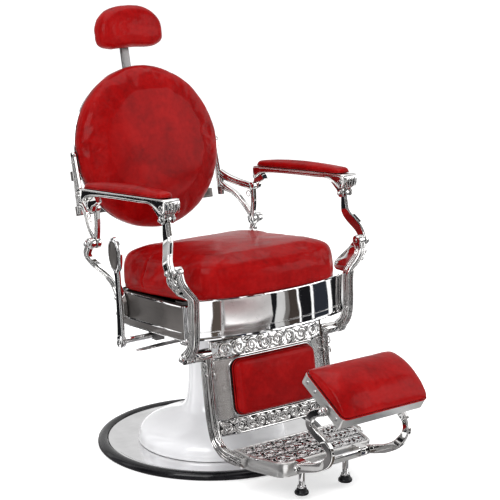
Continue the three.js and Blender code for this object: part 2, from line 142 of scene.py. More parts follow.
def leather():
    m, t, p, co = shader("red_leather", (0.30, 0.012, 0.014), 0.40, Coat_Weight=0.26, Coat_Roughness=0.17, Coat_IOR=1.32, Specular_IOR_Level=0.03)
    big = tex_noise(t, co, 9.0, 5.0, 0.6, distortion=0.6)
    fine = tex_noise(t, co, 70.0, 3.0, 0.6)
    mix = t.nodes.new("ShaderNodeMath")
    mix.operation = "MULTIPLY_ADD"
    mix.inputs[1].default_value = 0.3
    t.links.new(fine, mix.inputs[0])
    half = t.nodes.new("ShaderNodeMath")
    half.operation = "MULTIPLY"
    half.inputs[1].default_value = 0.7
    t.links.new(big, half.inputs[0])
    t.links.new(half.outputs[0], mix.inputs[2])
    hide = ramp(t, mix.outputs[0], [(0.33, (0.145, 0.0006, 0.0008)), (0.5, (0.228, 0.0015, 0.0018)), (0.68, (0.300, 0.0042, 0.0040))])
    # painted shade: ambient occlusion darkens the leather's base colour in its creases, seams and where pads meet
    ao = t.nodes.new("ShaderNodeAmbientOcclusion")
    ao.samples = 8
    ao.inputs["Distance"].default_value = 0.010
    seam = ramp(t, ao.outputs["AO"], [(0.42, (0.10, 0.08, 0.08)), (0.80, (1, 1, 1))])
    both = t.nodes.new("ShaderNodeMix")
    both.data_type = "RGBA"
    both.blend_type = "MULTIPLY"
    both.inputs["Factor"].default_value = 1.0
    t.links.new(hide, both.inputs["A"])
    t.links.new(seam, both.inputs["B"])
    t.links.new(both.outputs["Result"], p.inputs["Base Color"])
    t.links.new(spread(t, big, 0.32, 0.46), p.inputs["Roughness"])
    v = t.nodes.new("ShaderNodeTexVoronoi")
    v.feature = "DISTANCE_TO_EDGE"
    v.inputs["Scale"].default_value = 520.0
    t.links.new(co.outputs["Object"], v.inputs["Vector"])
    n1 = bump(t, p, v.outputs["Distance"], 0.16, 0.0006)
    n2 = bump(t, p, tex_noise(t, co, 34.0, 6.0, 0.55, distortion=1.2), 0.10, 0.004, n1)
    bump(t, p, tex_noise(t, co, 7.0, 2.0, 0.5), 0.22, 0.010, n2)
    return m


def chrome(name="chrome", color=(0.86, 0.855, 0.86), rough=(0.012, 0.04), wave=0.02):
    m, t, p, co = shader(name, color, rough[0], 1.0)
    n = tex_noise(t, co, 22.0, 5.0, 0.6)
    t.links.new(spread(t, n, *rough), p.inputs["Roughness"])
    dull = tuple(c * 0.9 for c in color)
    t.links.new(ramp(t, tex_noise(t, co, 14.0, 3.0), [(0.35, dull), (0.6, color)]), p.inputs["Base Color"])
    n1 = bump(t, p, tex_noise(t, co, 11.0, 2.0), wave, 0.004)
    bump(t, p, tex_noise(t, co, 420.0, 3.0, 0.6), 0.03, 0.0004, n1)
    return m


def cast_chrome(name="cast_chrome", color=(0.82, 0.81, 0.80), reach=0.0055):
    """Plated castings: painted shade from ambient occlusion darkens the base colour in the recesses, and the polished
    raised edges keep the full chrome colour.
    """
    m = chrome(name, color, (0.012, 0.04), 0.03)
    t = m.node_tree
    p = t.nodes["Principled BSDF"]
    source = p.inputs["Base Color"].links[0].from_socket
    # painted shade: the base colour falls towards near-black where ambient occlusion finds a recess
    ao = t.nodes.new("ShaderNodeAmbientOcclusion")
    ao.samples = 8
    ao.inputs["Distance"].default_value = reach
    dark = ramp(t, ao.outputs["AO"], [(0.28, (0.012, 0.011, 0.011)), (0.54, (0.18, 0.17, 0.168)), (0.74, (1, 1, 1))])
    mix = t.nodes.new("ShaderNodeMix")
    mix.data_type = "RGBA"
    mix.blend_type = "MULTIPLY"
    mix.inputs["Factor"].default_value = 1.0
    t.links.new(source, mix.inputs["A"])
    t.links.new(dark, mix.inputs["B"])
    t.links.new(mix.outputs["Result"], p.inputs["Base Color"])
    return m


def steel():
    m, t, p, co = shader("steel", (0.42, 0.42, 0.43), 0.34, 1.0)
    n = tex_noise(t, co, 30.0, 6.0, 0.65)
    t.links.new(ramp(t, n, [(0.3, (0.17, 0.165, 0.165)), (0.7, (0.31, 0.30, 0.30))]), p.inputs["Base Color"])
    t.links.new(spread(t, n, 0.26, 0.44), p.inputs["Roughness"])
    bump(t, p, tex_noise(t, co, 900.0, 2.0), 0.05, 0.0004)
    return m


def satin(name, color, rough, metal):
    m, t, p, co = shader(name, color, rough, metal)
    n = tex_noise(t, co, 26.0, 8.0, 0.7, stretch=(1, 0.5, 40))
    a, b = tuple(c * 0.9 for c in color), tuple(min(1, c * 1.1) for c in color)
    t.links.new(ramp(t, n, [(0.3, a), (0.7, b)]), p.inputs["Base Color"])
    t.links.new(spread(t, n, rough - 0.04, rough + 0.05), p.inputs["Roughness"])
    bump(t, p, n, 0.03, 0.0004)
    return m


def enamel():
    m, t, p, co = shader("white_enamel", (0.86, 0.86, 0.88), 0.16, 0.0, Coat_Weight=0.6, Coat_Roughness=0.06)
    n = tex_noise(t, co, 8.0, 4.0)
    t.links.new(ramp(t, n, [(0.3, (0.90, 0.90, 0.92)), (0.7, (0.94, 0.94, 0.955))]), p.inputs["Base Color"])
    t.links.new(spread(t, n, 0.13, 0.2), p.inputs["Roughness"])
    bump(t, p, tex_noise(t, co, 160.0, 3.0), 0.04, 0.0006)
    return m


def rubber():
    m, t, p, co = shader("black_rubber", (0.006, 0.006, 0.007), 0.22, 0.0, Coat_Weight=0.30, Coat_Roughness=0.05, Specular_IOR_Level=0.22)
    n = tex_noise(t, co, 26.0, 6.0, 0.6)
    t.links.new(ramp(t, n, [(0.3, (0.003, 0.003, 0.004)), (0.72, (0.010, 0.0095, 0.012))]), p.inputs["Base Color"])
    t.links.new(spread(t, n, 0.2, 0.36), p.inputs["Roughness"])
    bump(t, p, tex_noise(t, co, 600.0, 4.0), 0.08, 0.0005)
    return m


def plain(name, color, rough, metal=0.0, scale=30.0):
    m, t, p, co = shader(name, color, rough, metal)
    n = tex_noise(t, co, scale, 6.0, 0.6)
    a, b = tuple(c * 0.7 for c in color), tuple(min(1, c * 1.3) for c in color)
    t.links.new(ramp(t, n, [(0.3, a), (0.7, b)]), p.inputs["Base Color"])
    t.links.new(spread(t, n, max(0.03, rough - 0.06), rough + 0.08), p.inputs["Roughness"])
    bump(t, p, tex_noise(t, co, scale * 16, 3.0), 0.08, 0.0006)
    return m


MAT = {
    "red": leather(),
    "chrome": chrome(),
    "cast": cast_chrome(),
    "steel": steel(),
    "satin": satin("satin_dark", (0.15, 0.137, 0.13), 0.30, 0.8),
    "grey": satin("satin_grey", (0.74, 0.73, 0.72), 0.30, 0.9),
    # the relief gets the same painted shade, from ambient occlusion over 16 mm
    "relief": cast_chrome("relief_chrome", (0.56, 0.55, 0.55), 0.016),
    "white": enamel(),
    "rubber": rubber(),
    "shell": satin("shell_silver", (0.60, 0.60, 0.62), 0.24, 0.75),
    # painted shade: a near-black material for the shade behind the openwork filigree and between the footplate's relief
    # beads
    "recess": plain("painted_shade_black", (0.022, 0.021, 0.021), 0.45, 0.5),
    "thread": plain("thread", (0.16, 0.006, 0.007), 0.6, 0.0, 300.0),
    # painted shade: the seat board is near-black to stand in for the shade in the gap under the seat cushion
    "wood": plain("board_painted_shade", (0.02, 0.015, 0.013), 0.6, 0.0, 18.0),
    "plate": satin("satin_plate", (0.70, 0.685, 0.675), 0.24, 1.0),
}

# ------------------------------------------------------------------ shapes: (vertices in mm, faces)


def merge(*shapes):
    v, f = [], []
    for sv, sf in shapes:
        k = len(v)
        v += [tuple(p) for p in sv]
        f += [tuple(i + k for i in q) for q in sf]
    return v, f


def moved(shape, M):
    return [tuple(M @ Vector(p)) for p in shape[0]], shape[1]


def mirrored(shape):
    return [(-p[0], p[1], p[2]) for p in shape[0]], [tuple(reversed(q)) for q in shape[1]]


def build(name, shape, mat, body, cad=(), M=None, sign=1, sharp=34, bevel=0.0, subsurf=0, mats=None):
    v, f = shape
    if M is not None:
        v = [tuple(M @ Vector(p)) for p in v]
    if sign < 0:
        v = [(-p[0], p[1], p[2]) for p in v]
    me = bpy.data.meshes.new(name)
    me.from_pydata([(p[0] * MM, p[1] * MM, p[2] * MM) for p in v], [], f)
    bm = bmesh.new()
    bm.from_mesh(me)
    bmesh.ops.remove_doubles(bm, verts=bm.verts, dist=2e-6)
    bmesh.ops.recalc_face_normals(bm, faces=bm.faces)
    bm.to_mesh(me)
    bm.free()
    me.update()
    o = bpy.data.objects.new(name, me)
    bpy.context.scene.collection.objects.link(o)
    for p in me.polygons:
        p.use_smooth = True
    if bevel:
        b = o.modifiers.new("bevel", "BEVEL")
        b.width, b.segments, b.limit_method, b.angle_limit = bevel * MM, 3, "ANGLE", math.radians(32)
        b.harden_normals = False
    if subsurf:
        s = o.modifiers.new("subsurf", "SUBSURF")
        s.levels = s.render_levels = subsurf
    if bevel or subsurf:
        bake(o)
    o.data.set_sharp_from_angle(angle=math.radians(sharp))
    for mm in mats or [mat]:
        o.data.materials.append(MAT[mm])
    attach(o, body)
    if cad:
        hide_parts(*([cad] if isinstance(cad, str) else cad))
    return o


def bake(o):
    dg = bpy.context.evaluated_depsgraph_get()
    dg.update()
    me = bpy.data.meshes.new_from_object(o.evaluated_get(dg))
    old = o.data
    o.modifiers.clear()
    o.data = me
    bpy.data.meshes.remove(old)
    for p in o.data.polygons:
        p.use_smooth = True
    return o


def catmull(points, steps):
    """Points at equal arc steps, with tangents, on a centripetal Catmull-Rom line."""
    P = [np.array(p, float) for p in points]
    P = [2 * P[0] - P[1]] + P + [2 * P[-1] - P[-2]]
    dense = []
    for i in range(1, len(P) - 2):
        p0, p1, p2, p3 = P[i - 1], P[i], P[i + 1], P[i + 2]
        t0 = 0.0
        t1 = t0 + max(1e-6, np.linalg.norm(p1 - p0)) ** 0.5
        t2 = t1 + max(1e-6, np.linalg.norm(p2 - p1)) ** 0.5
        t3 = t2 + max(1e-6, np.linalg.norm(p3 - p2)) ** 0.5
        for k in range(24 if i < len(P) - 3 else 25):
            t = t1 + (t2 - t1) * k / 24
            a1 = (t1 - t) / (t1 - t0) * p0 + (t - t0) / (t1 - t0) * p1
            a2 = (t2 - t) / (t2 - t1) * p1 + (t - t1) / (t2 - t1) * p2
            a3 = (t3 - t) / (t3 - t2) * p2 + (t - t2) / (t3 - t2) * p3
            b1 = (t2 - t) / (t2 - t0) * a1 + (t - t0) / (t2 - t0) * a2
            b2 = (t3 - t) / (t3 - t1) * a2 + (t - t1) / (t3 - t1) * a3
            dense.append((t2 - t) / (t2 - t1) * b1 + (t - t1) / (t2 - t1) * b2)
    D = np.array(dense)
    s = np.concatenate([[0], np.cumsum(np.linalg.norm(np.diff(D, axis=0), axis=1))])
    q = np.linspace(0, s[-1], steps + 1)
    out = np.stack([np.interp(q, s, D[:, c]) for c in range(D.shape[1])], 1)
    tan = np.gradient(out, axis=0)
    tan /= np.linalg.norm(tan, axis=1)[:, None]
    return out, tan


def loft(rings, caps=True, closed=False):
    n = len(rings[0])
    v = [tuple(p) for r in rings for p in r]
    f = []
    m = len(rings)
    for i in range(m if closed else m - 1):
        a, b = i * n, ((i + 1) % m) * n
        for j in range(n):
            k = (j + 1) % n
            f.append((a + j, a + k, b + k, b + j))
    if caps and not closed:
        for base, ring in ((0, rings[0]), ((m - 1) * n, rings[-1])):
            c = len(v)
            v.append(tuple(np.mean(np.array([tuple(p) for p in ring]), 0)))
            f += [(base + j, base + (j + 1) % n, c) for j in range(n)]
    return v, f


def section(w, h, r=3.0, side=0, front=0, depth=1.5, k=18):
    """A rounded rectangle, w wide and 2h high, with rounded ribs on its w faces (side) and h faces (front)."""
    r = min(r, w / 2 - 0.1, h - 0.1)
    pts = []
    hw = w / 2

    def groove(q, ribs):
        """Rounded ribs with a narrow deep line between each two."""
        if not ribs:
            return 0.0
        u = (q + 1) / 2 * ribs
        near = min(abs(u - i) for i in range(1, ribs)) if ribs > 1 else abs(u - 0.5) * 1.3
        edge_drop = 0.16 if ribs > 1 else 0.0
        return depth * (math.exp(-((near / 0.17) ** 2)) + edge_drop * (2 * abs(u - math.floor(u) - 0.5)) ** 2)

    def edge(a, b, ribs, nx, ny):
        for i in range(k):
            q = -1 + 2 * (i + 0.5) / k
            g = groove(q, ribs)
            pts.append((a[0] + (b[0] - a[0]) * (q + 1) / 2 - nx * g, a[1] + (b[1] - a[1]) * (q + 1) / 2 - ny * g))

    def corner(cx, cy, a0):
        for i in range(5):
            a = math.radians(a0 + 90 * i / 4)
            pts.append((cx + r * math.cos(a), cy + r * math.sin(a)))

    corner(hw - r, -h + r, -90)
    edge((hw, -h + r), (hw, h - r), side, 1, 0)
    corner(hw - r, h - r, 0)
    edge((hw - r, h), (-hw + r, h), front, 0, 1)
    corner(-hw + r, h - r, 90)
    edge((-hw, h - r), (-hw, -h + r), side, -1, 0)
    corner(-hw + r, -h + r, 180)
    edge((-hw + r, -h), (hw - r, -h), front, 0, -1)
    return pts


def bar(points, half, x0, x1, f=None, steps=48, r=3.0, side=0, front=0, depth=1.5, k=14, belly=0.0):
    """A cast bar along a YZ line; belly thins it sideways towards its ends."""
    c, d = catmull(points, steps)
    rings = []
    for i in range(steps + 1):
        t = i / steps
        g = t * (len(half) - 1)
        j = min(int(g), len(half) - 2)
        h = half[j] + (half[j + 1] - half[j]) * (g - j)
        y, z = c[i]
        dx = f(y, z) if f else 0.0
        w = (x1 - x0) * (1 - belly * abs(2 * t - 1) ** 2)
        rings.append([((x0 + x1) / 2 + dx + u, y - d[i][1] * q, z + d[i][0] * q) for u, q in section(w, h, r, side, front, depth, k)])
    return loft(rings)


def lathe_x(profile, y, z, n=40):
    rings = [[(x, y + r * math.cos(2 * math.pi * i / n), z + r * math.sin(2 * math.pi * i / n)) for i in range(n)] for x, r in profile]
    return loft(rings)


def lathe_y(profile, x, z, n=40):
    rings = [[(x + r * math.cos(2 * math.pi * i / n), y, z + r * math.sin(2 * math.pi * i / n)) for i in range(n)] for y, r in profile]
    return loft(rings)


def lathe_z(profile, x, y, n=64):
    rings = [[(x + r * math.cos(2 * math.pi * i / n), y + r * math.sin(2 * math.pi * i / n), z) for i in range(n)] for r, z in profile]
    return loft(rings)


def ring_z(profile, n=128):
    """A closed section [(r, z), ...] turned about Z."""
    rings = [[(r * math.cos(2 * math.pi * i / n), r * math.sin(2 * math.pi * i / n), z) for r, z in profile] for i in range(n)]
    return loft(rings, closed=True)


def boss(x0, x1, y, z, r, b=2.0, n=40):
    s = 1 if x1 > x0 else -1
    return lathe_x([(x0, r - b), (x0 + s * b * 0.3, r - b * 0.3), (x0 + s * b, r), (x1 - s * b, r), (x1 - s * b * 0.3, r - b * 0.3), (x1, r - b)], y, z, n)


def nut(x, y, z, r, s=1, dome=True):
    """A washer, a hexagon and a domed end, standing out from x in direction s."""
    hexa = [[(xx, y + rr * math.cos(math.pi * i / 3 + 0.3), z + rr * math.sin(math.pi * i / 3 + 0.3)) for i in range(6)] for xx, rr in ((x + s * 1.4, r * 0.92), (x + s * 2.0, r), (x + s * 0.7 * r, r), (x + s * 0.78 * r, r * 0.9))]
    out = [lathe_x([(x - s * 0.5, r * 1.2), (x + s * 1.2, r * 1.2), (x + s * 1.8, r * 1.05)], y, z, 28), loft(hexa)]
    if dome:
        out.append(lathe_x([(x + s * (0.7 * r + 0.72 * r * math.sin(a)), 0.8 * r * math.cos(a)) for a in [math.radians(k) for k in (0, 20, 40, 60, 75, 86)]], y, z, 24))
    return merge(*out)


def screw(x, y, z, r, s=1):
    """A pan head with a cross slot."""
    head = lathe_x([(x - s * 0.5, r), (x + s * 0.8, r), (x + s * 1.8, r * 0.86), (x + s * 2.3, r * 0.6)], y, z, 28)
    bars = [loft([[(xx, y + a, z + b) for a, b in ((-l, -w), (l, -w), (l, w), (-l, w))] for xx in (x + s * 1.0, x + s * 2.45)]) for l, w in ((r * 0.55, r * 0.1), (r * 0.1, r * 0.55))]
    return merge(head, *bars)


def tube(points, radius, n=10, flat=1.0, normal=None):
    """A round or flattened bead along a 3-D line; radius may be a list."""
    P = np.array([tuple(p) for p in points], float)
    T = np.gradient(P, axis=0)
    T /= np.maximum(np.linalg.norm(T, axis=1), 1e-9)[:, None]
    N = np.array(normal if normal is not None else (0, 0, 1), float)
    rings = []
    for i in range(len(P)):
        b = np.cross(T[i], N)
        b /= max(np.linalg.norm(b), 1e-9)
        u = np.cross(b, T[i])
        r = radius[i] if hasattr(radius, "__len__") else radius
        rings.append([tuple(P[i] + r * (math.cos(a) * b + flat * math.sin(a) * u)) for a in [2 * math.pi * k / n for k in range(n)]])
    return loft(rings)


def spiral(cx, cy, r, turns, start, hand=1, k=26, inner=0.22):
    out = []
    for i in range(k + 1):
        t = i / k
        a = start + hand * turns * 2 * math.pi * t
        q = r * (1 - (1 - inner) * t)
        out.append((cx + q * math.cos(a), cy + q * math.sin(a)))
    return out


def scrollwork(x0, x1, y0, y1, place, normal, bead=2.2, seed=1, mirror=True, pitch=1.9):
    """Leafy scrolls that fill a strip in (x, y), laid on a surface by place(x, y)."""
    H = y1 - y0
    cy = (y0 + y1) / 2
    out = []
    R = H * 0.36
    xs = []
    x = R * 1.25
    while x < x1 - R * 0.9:
        xs.append(x)
        x += R * pitch
    lines = []
    for i, cx in enumerate(xs):
        h = 1 if i % 2 == 0 else -1
        lines.append((spiral(cx, cy, R, 1.45, math.pi if h > 0 else math.pi, h), 1.0))
        lines.append((spiral(cx, cy, R * 1.12, 0.32, math.pi * (0.5 if h > 0 else -0.5), -h, 12, 0.8), 0.8))
        for s in (1, -1):
            bx, by = cx + R * 0.95, cy + s * R * 0.75
            lines.append(([(cx + R * 0.35, cy + s * R * 0.95), (bx, by + s * R * 0.2), (bx + R * 0.42, cy + s * R * 0.62), (bx + R * 0.30, cy + s * R * 0.28)], 0.75))
            lines.append(([(cx - R * 0.2, cy + s * R * 0.5), (cx + R * 0.05, cy + s * R * 0.25), (cx + R * 0.22, cy - s * R * 0.02)], 0.6))
    for pts, w in lines:
        c, _ = catmull(pts, max(14, len(pts) * 2))
        n = len(c)
        for s in (1, -1) if mirror else (1,):
            P = [place(s * p[0], p[1]) for p in c]
            rad = [bead * w * (0.35 + 0.95 * math.sin(math.pi * min(1, 0.12 + 0.88 * i / (n - 1)))) for i in range(n)]
            out.append(tube(P, rad, 8, 0.8, normal))
    return out


def outline_plate(outline, x0, x1):
    """A YZ outline extruded along X, with fan-free n-gon faces."""
    n = len(outline)
    v = [(x0, y, z) for y, z in outline] + [(x1, y, z) for y, z in outline]
    f = [tuple(range(n)), tuple(range(2 * n - 1, n - 1, -1))] + [(i, (i + 1) % n, n + (i + 1) % n, n + i) for i in range(n)]
    return v, f


def plate_z(outline, z0, z1):
    n = len(outline)
    v = [(x, y, z0) for x, y in outline] + [(x, y, z1) for x, y in outline]
    f = [tuple(range(n)), tuple(range(2 * n - 1, n - 1, -1))] + [(i, (i + 1) % n, n + (i + 1) % n, n + i) for i in range(n)]
    return v, f


def block(x0, x1, y0, y1, z0, z1):
    return plate_z([(x0, y0), (x1, y0), (x1, y1), (x0, y1)], z0, z1)


def round_rect(x0, x1, y0, y1, r, k=8):
    out = []
    for cx, cy, a0 in ((x1 - r, y1 - r, 0), (x0 + r, y1 - r, 90), (x0 + r, y0 + r, 180), (x1 - r, y0 + r, 270)):
        for i in range(k + 1):
            a = math.radians(a0 + 90 * i / k)
            out.append((cx + r * math.cos(a), cy + r * math.sin(a)))
    return out


def resample(outline, n):
    P = np.array(outline + [outline[0]], float)
    s = np.concatenate([[0], np.cumsum(np.linalg.norm(np.diff(P, axis=0), axis=1))])
    q = np.linspace(0, s[-1], n, endpoint=False)
    return [(np.interp(a, s, P[:, 0]), np.interp(a, s, P[:, 1])) for a in q]

# ------------------------------------------------------------------ cushions


def cushion(outline, side, crown, n=150, rings=26, dome=2.2, lean=None):
    """A stuffed pad in its own frame: side is [(z, inset), ...] up the boxing, and the top rises by crown towards its middle."""
    O = np.array(resample(outline, n))
    c = O.mean(0)
    T = np.roll(O, -1, 0) - np.roll(O, 1, 0)
    T /= np.linalg.norm(T, axis=1)[:, None]
    N = np.stack([-T[:, 1], T[:, 0]], 1)
    if np.mean(np.sum(N * (c - O), 1)) < 0:
        N = -N
    prof, _ = catmull([(s[0], s[1]) for s in side], 22)
    rows = [[(*(O[i] + N[i] * p[1]), p[0]) for i in range(n)] for p in prof]
    last, ztop, inset = prof[-1], prof[-1][0], prof[-1][1]
    E = O + N * inset
    slope = max(0.02, (prof[-1][0] - prof[-2][0]) / max(0.3, prof[-1][1] - prof[-2][1]))
    for k in range(1, rings + 1):
        s = 1 - k / rings
        h = crown * (1 - s**dome)
        rows.append([(*(c + (E[i] - c) * s), ztop + h) if s > 0 else (c[0], c[1], ztop + h) for i in range(n)])
    v, f = loft(rows, caps=False)
    b0 = len(v)
    z0 = rows[0][0][2]
    base = np.array([r[:2] for r in rows[0]])
    inner = []
    for k in range(1, 9):
        s = 1 - k / 8
        inner.append([(*(c + (base[i] - c) * s), z0) for i in range(n)])
    w, g = loft([rows[0]] + inner, caps=False)
    g = [tuple(reversed(q)) for q in g]
    return merge((v, f), (w, g))


def wrinkle(o, amount, scale, where=None, seed=0.0, axis=None):
    """Fine pulls and puckers in the leather, strongest where where(co) is 1."""
    me = o.data
    me.update()
    out = []
    for v in me.vertices:
        k = where(v.co) if where else 1.0
        p = v.co * scale + Vector((seed, seed * 1.7, -seed))
        d = noise.noise(p) + 0.5 * noise.noise(p * 2.1) + 0.22 * noise.noise(p * 4.7)
        out.append(v.co + v.normal * (d * amount * MM * k))
    for v, q in zip(me.vertices, out):
        v.co = q
    me.update()


def simulate(o, pressure=4.0, cap=14.0, voxel=6.0, pins=None, frames=20, stiff=24.0, calm=14, keep=0.28):
    """Puffs the pad out as pressurised cloth and keeps each point within cap mm of where it was."""
    scene = bpy.context.scene
    parent = o.parent
    o.parent = None
    rm = o.modifiers.new("remesh", "REMESH")
    rm.mode, rm.voxel_size = "VOXEL", voxel * MM
    sm = o.modifiers.new("smooth", "SMOOTH")
    sm.factor, sm.iterations = 0.5, 3
    bake(o)
    rest = np.array([v.co for v in o.data.vertices])
    group = o.vertex_groups.new(name="pin")
    if pins:
        for v in o.data.vertices:
            w = pins(v.co)
            if w > 0:
                group.add([v.index], min(1.0, w), "REPLACE")
    c = o.modifiers.new("cloth", "CLOTH")
    s = c.settings
    s.quality = 5
    s.mass = 0.4
    s.tension_stiffness = s.compression_stiffness = stiff
    s.shear_stiffness = stiff * 0.6
    s.bending_stiffness = 2.0
    s.use_pressure = True
    s.uniform_pressure_force = pressure
    s.effector_weights.gravity = 0
    s.vertex_group_mass = "pin"
    c.collision_settings.use_self_collision = False
    c.collision_settings.use_collision = False
    c.point_cache.frame_start, c.point_cache.frame_end = 1, frames
    for fr in range(1, frames + 1):
        scene.frame_set(fr)
    dg = bpy.context.evaluated_depsgraph_get()
    me = bpy.data.meshes.new_from_object(o.evaluated_get(dg))
    co = np.array([v.co for v in me.vertices])
    d = co - rest
    # the puckers that run off the seams are eased, and a little of them is kept
    e = np.array([q.vertices[:] for q in me.edges])
    count = np.bincount(e.ravel(), minlength=len(d))[:, None]
    soft_d = d.copy()
    for _ in range(calm):
        acc = np.zeros_like(soft_d)
        np.add.at(acc, e[:, 0], soft_d[e[:, 1]])
        np.add.at(acc, e[:, 1], soft_d[e[:, 0]])
        soft_d = 0.4 * soft_d + 0.6 * acc / np.maximum(count, 1)
    d = soft_d + keep * (d - soft_d)
    L = np.linalg.norm(d, axis=1)
    k = np.where(L > cap * MM, cap * MM / np.maximum(L, 1e-9), 1.0)
    co = rest + d * k[:, None]
    me.vertices.foreach_set("co", co.astype(np.float32).ravel())
    me.update()
    o.modifiers.clear()
    old = o.data
    o.data = me
    bpy.data.meshes.remove(old)
    scene.frame_set(1)
    ss = o.modifiers.new("sub", "SUBSURF")
    ss.levels = ss.render_levels = 1
    bake(o)
    o.parent = parent
    return o


def soft(name, shape, body, cad, M, sim=None, crease=None, detail=0.0, sign=1, detail_scale=22.0):
    """A padded leather piece: built in its frame, puffed out as cloth where sim is given, then creased."""
    o = build(name, shape, "red", body, cad, M=M, sign=sign, sharp=180)
    if sim:
        simulate(o, **sim)
        if not o.data.materials:
            o.data.materials.append(MAT["red"])
    if detail:
        wrinkle(o, detail, detail_scale, crease)
    return o


def welt(name, points, radius, body, sign=1, M=None, mat="red", closed=True):
    P = [tuple(M @ Vector(p)) for p in points] if M is not None else points
    P = list(P)
    if closed:
        ring = []
        n = len(P)
        A = np.array(P)
        T = np.roll(A, -1, 0) - np.roll(A, 1, 0)
        T /= np.linalg.norm(T, axis=1)[:, None]
        C = A.mean(0)
        for i in range(n):
            u = np.cross(T[i], C - A[i])
            u /= np.linalg.norm(u)
            b = np.cross(T[i], u)
            ring.append([tuple(A[i] + radius * (math.cos(a) * u + math.sin(a) * b)) for a in [2 * math.pi * k / 8 for k in range(8)]])
        shape = loft(ring, closed=True)
    else:
        shape = tube(P, radius, 8)
    return build(name, shape, mat, body, sign=sign, sharp=180)


# seat cushion: a thick box cushion with a bowed front
def seat_outline():
    pts = []
    for i in range(31):
        x = -208 + 416 * i / 30
        pts.append((x, -350 + 40 * (x / 262) ** 2))
    pts += [(228, -312), (245, -296), (256, -270), (261, -238), (262.5, -170), (262.5, -60), (262, 50), (256, 96), (240, 124), (212, 141), (170, 148), (90, 150.5), (0, 151)]
    pts += [(-x, y) for x, y in reversed(pts[31:-1])]
    return pts


SEAT_PIN = lambda co: 1.0 if (SEAT.inverted() @ (co / MM)).z < 0 else 0.0
seat_shape = cushion(seat_outline(), [(-14, 12), (-11, 6), (-2, 2.5), (20, 0.5), (46, 0), (70, 2.2), (86, 8.5), (97, 20), (103, 34)], 10.0, n=190, rings=30, dome=1.8)
seat = soft("seat_leather", seat_shape, "turning_frame", "seat_cushion", SEAT,
            sim=dict(pressure=3.4, cap=9.0, voxel=6.0, pins=SEAT_PIN), detail=1.6, detail_scale=16.0,
            crease=lambda co: 0.35 + 0.65 * smooth(0.03, 0.0, abs((SEAT.inverted() @ (co / MM)).z - 92) * MM))


def push_groove(o, M, test, depth):
    """Draws the leather in along a seam; test gives the distance in mm from the seam line."""
    inv = M.inverted()
    o.data.update()
    moves = []
    for v in o.data.vertices:
        p = inv @ (v.co / MM)
        q = test(p)
        if q is not None and abs(q) < 14:
            moves.append((v.index, v.co - v.normal * (depth * MM * math.exp(-((q / 3.4) ** 2)))))
    for i, c in moves:
        o.data.vertices[i].co = c
    o.data.update()


push_groove(seat, SEAT, lambda p: (p.y + 24) if abs(p.x) > 225 and 6 < p.z < 98 else None, 4.6)
push_groove(seat, SEAT, lambda p: (p.z - 2) if p.z < 30 else None, 1.6)

# back cushion: a round drum of leather with a turned-over edge, on a silver shell
BR = 256.0


def round_back():
    def r(deg):
        return BR
    prof = [(26, -3), (24, 0), (10, 3), (-6, 2.5), (-20, -4), (-32, -18), (-39, -38), (-43, -66)]
    rows = []
    n = 150
    P, _ = catmull([(a, BR + b) for a, b in prof], 26)
    for y, rr in P:
        rows.append([(rr * math.cos(2 * math.pi * i / n), BACK_C[0] + y, BACK_C[1] + rr * math.sin(2 * math.pi * i / n)) for i in range(n)])
    r0, y0 = P[-1][1], P[-1][0]
    for k in range(1, 29):
        s = 1 - k / 28
        y = y0 - 7.0 * (1 - s**1.8)
        rows.append([(r0 * s * math.cos(2 * math.pi * i / n), BACK_C[0] + y, BACK_C[1] + r0 * s * math.sin(2 * math.pi * i / n)) for i in range(n)])
    back = [[(q[0] * s, rows[0][0][1], BACK_C[1] + (q[2] - BACK_C[1]) * s) for q in rows[0]] for s in (1, 0.8, 0.6, 0.4, 0.2, 0.0)]
    a = loft(rows, caps=False)
    b = loft(back, caps=False)
    return merge(a, (b[0], [tuple(reversed(q)) for q in b[1]]))


back_in = BACK.inverted()
BACK_PIN = lambda co: 1.0 if (back_in @ (co / MM)).y > BACK_C[0] + 18 else 0.0
back = soft("back_leather", round_back(), "backrest", "back_cushion", BACK,
            sim=dict(pressure=3.0, cap=7.0, voxel=6.0, pins=BACK_PIN), detail=1.5, detail_scale=13.0,
            crease=lambda co: 0.3 + 0.9 * smooth(60, 10, abs(math.hypot((back_in @ (co / MM)).x, (back_in @ (co / MM)).z - BACK_C[1]) - 225)))
build("back_shell_bowl", (lambda P: loft([[(r * math.cos(2 * math.pi * i / 120), BACK_C[0] + y, BACK_C[1] + r * math.sin(2 * math.pi * i / 120)) for i in range(120)] for y, r in P]))(
    [(28.4, 2), (28.4, 246), (29.2, 252.5), (31.5, 254.5), (34.5, 253.8), (38, 249), (43, 240), (48.5, 222), (53, 195), (56, 150), (57.4, 90), (57.9, 30), (58, 2)]), "shell", "backrest", "back_shell", M=BACK)
# bead round the shell's edge
welt("back_shell_bead", [(253.5 * math.cos(2 * math.pi * i / 120), BACK_C[0] + 30.5, BACK_C[1] + 253.5 * math.sin(2 * math.pi * i / 120)) for i in range(120)], 3.0, "backrest", M=BACK, mat="chrome")

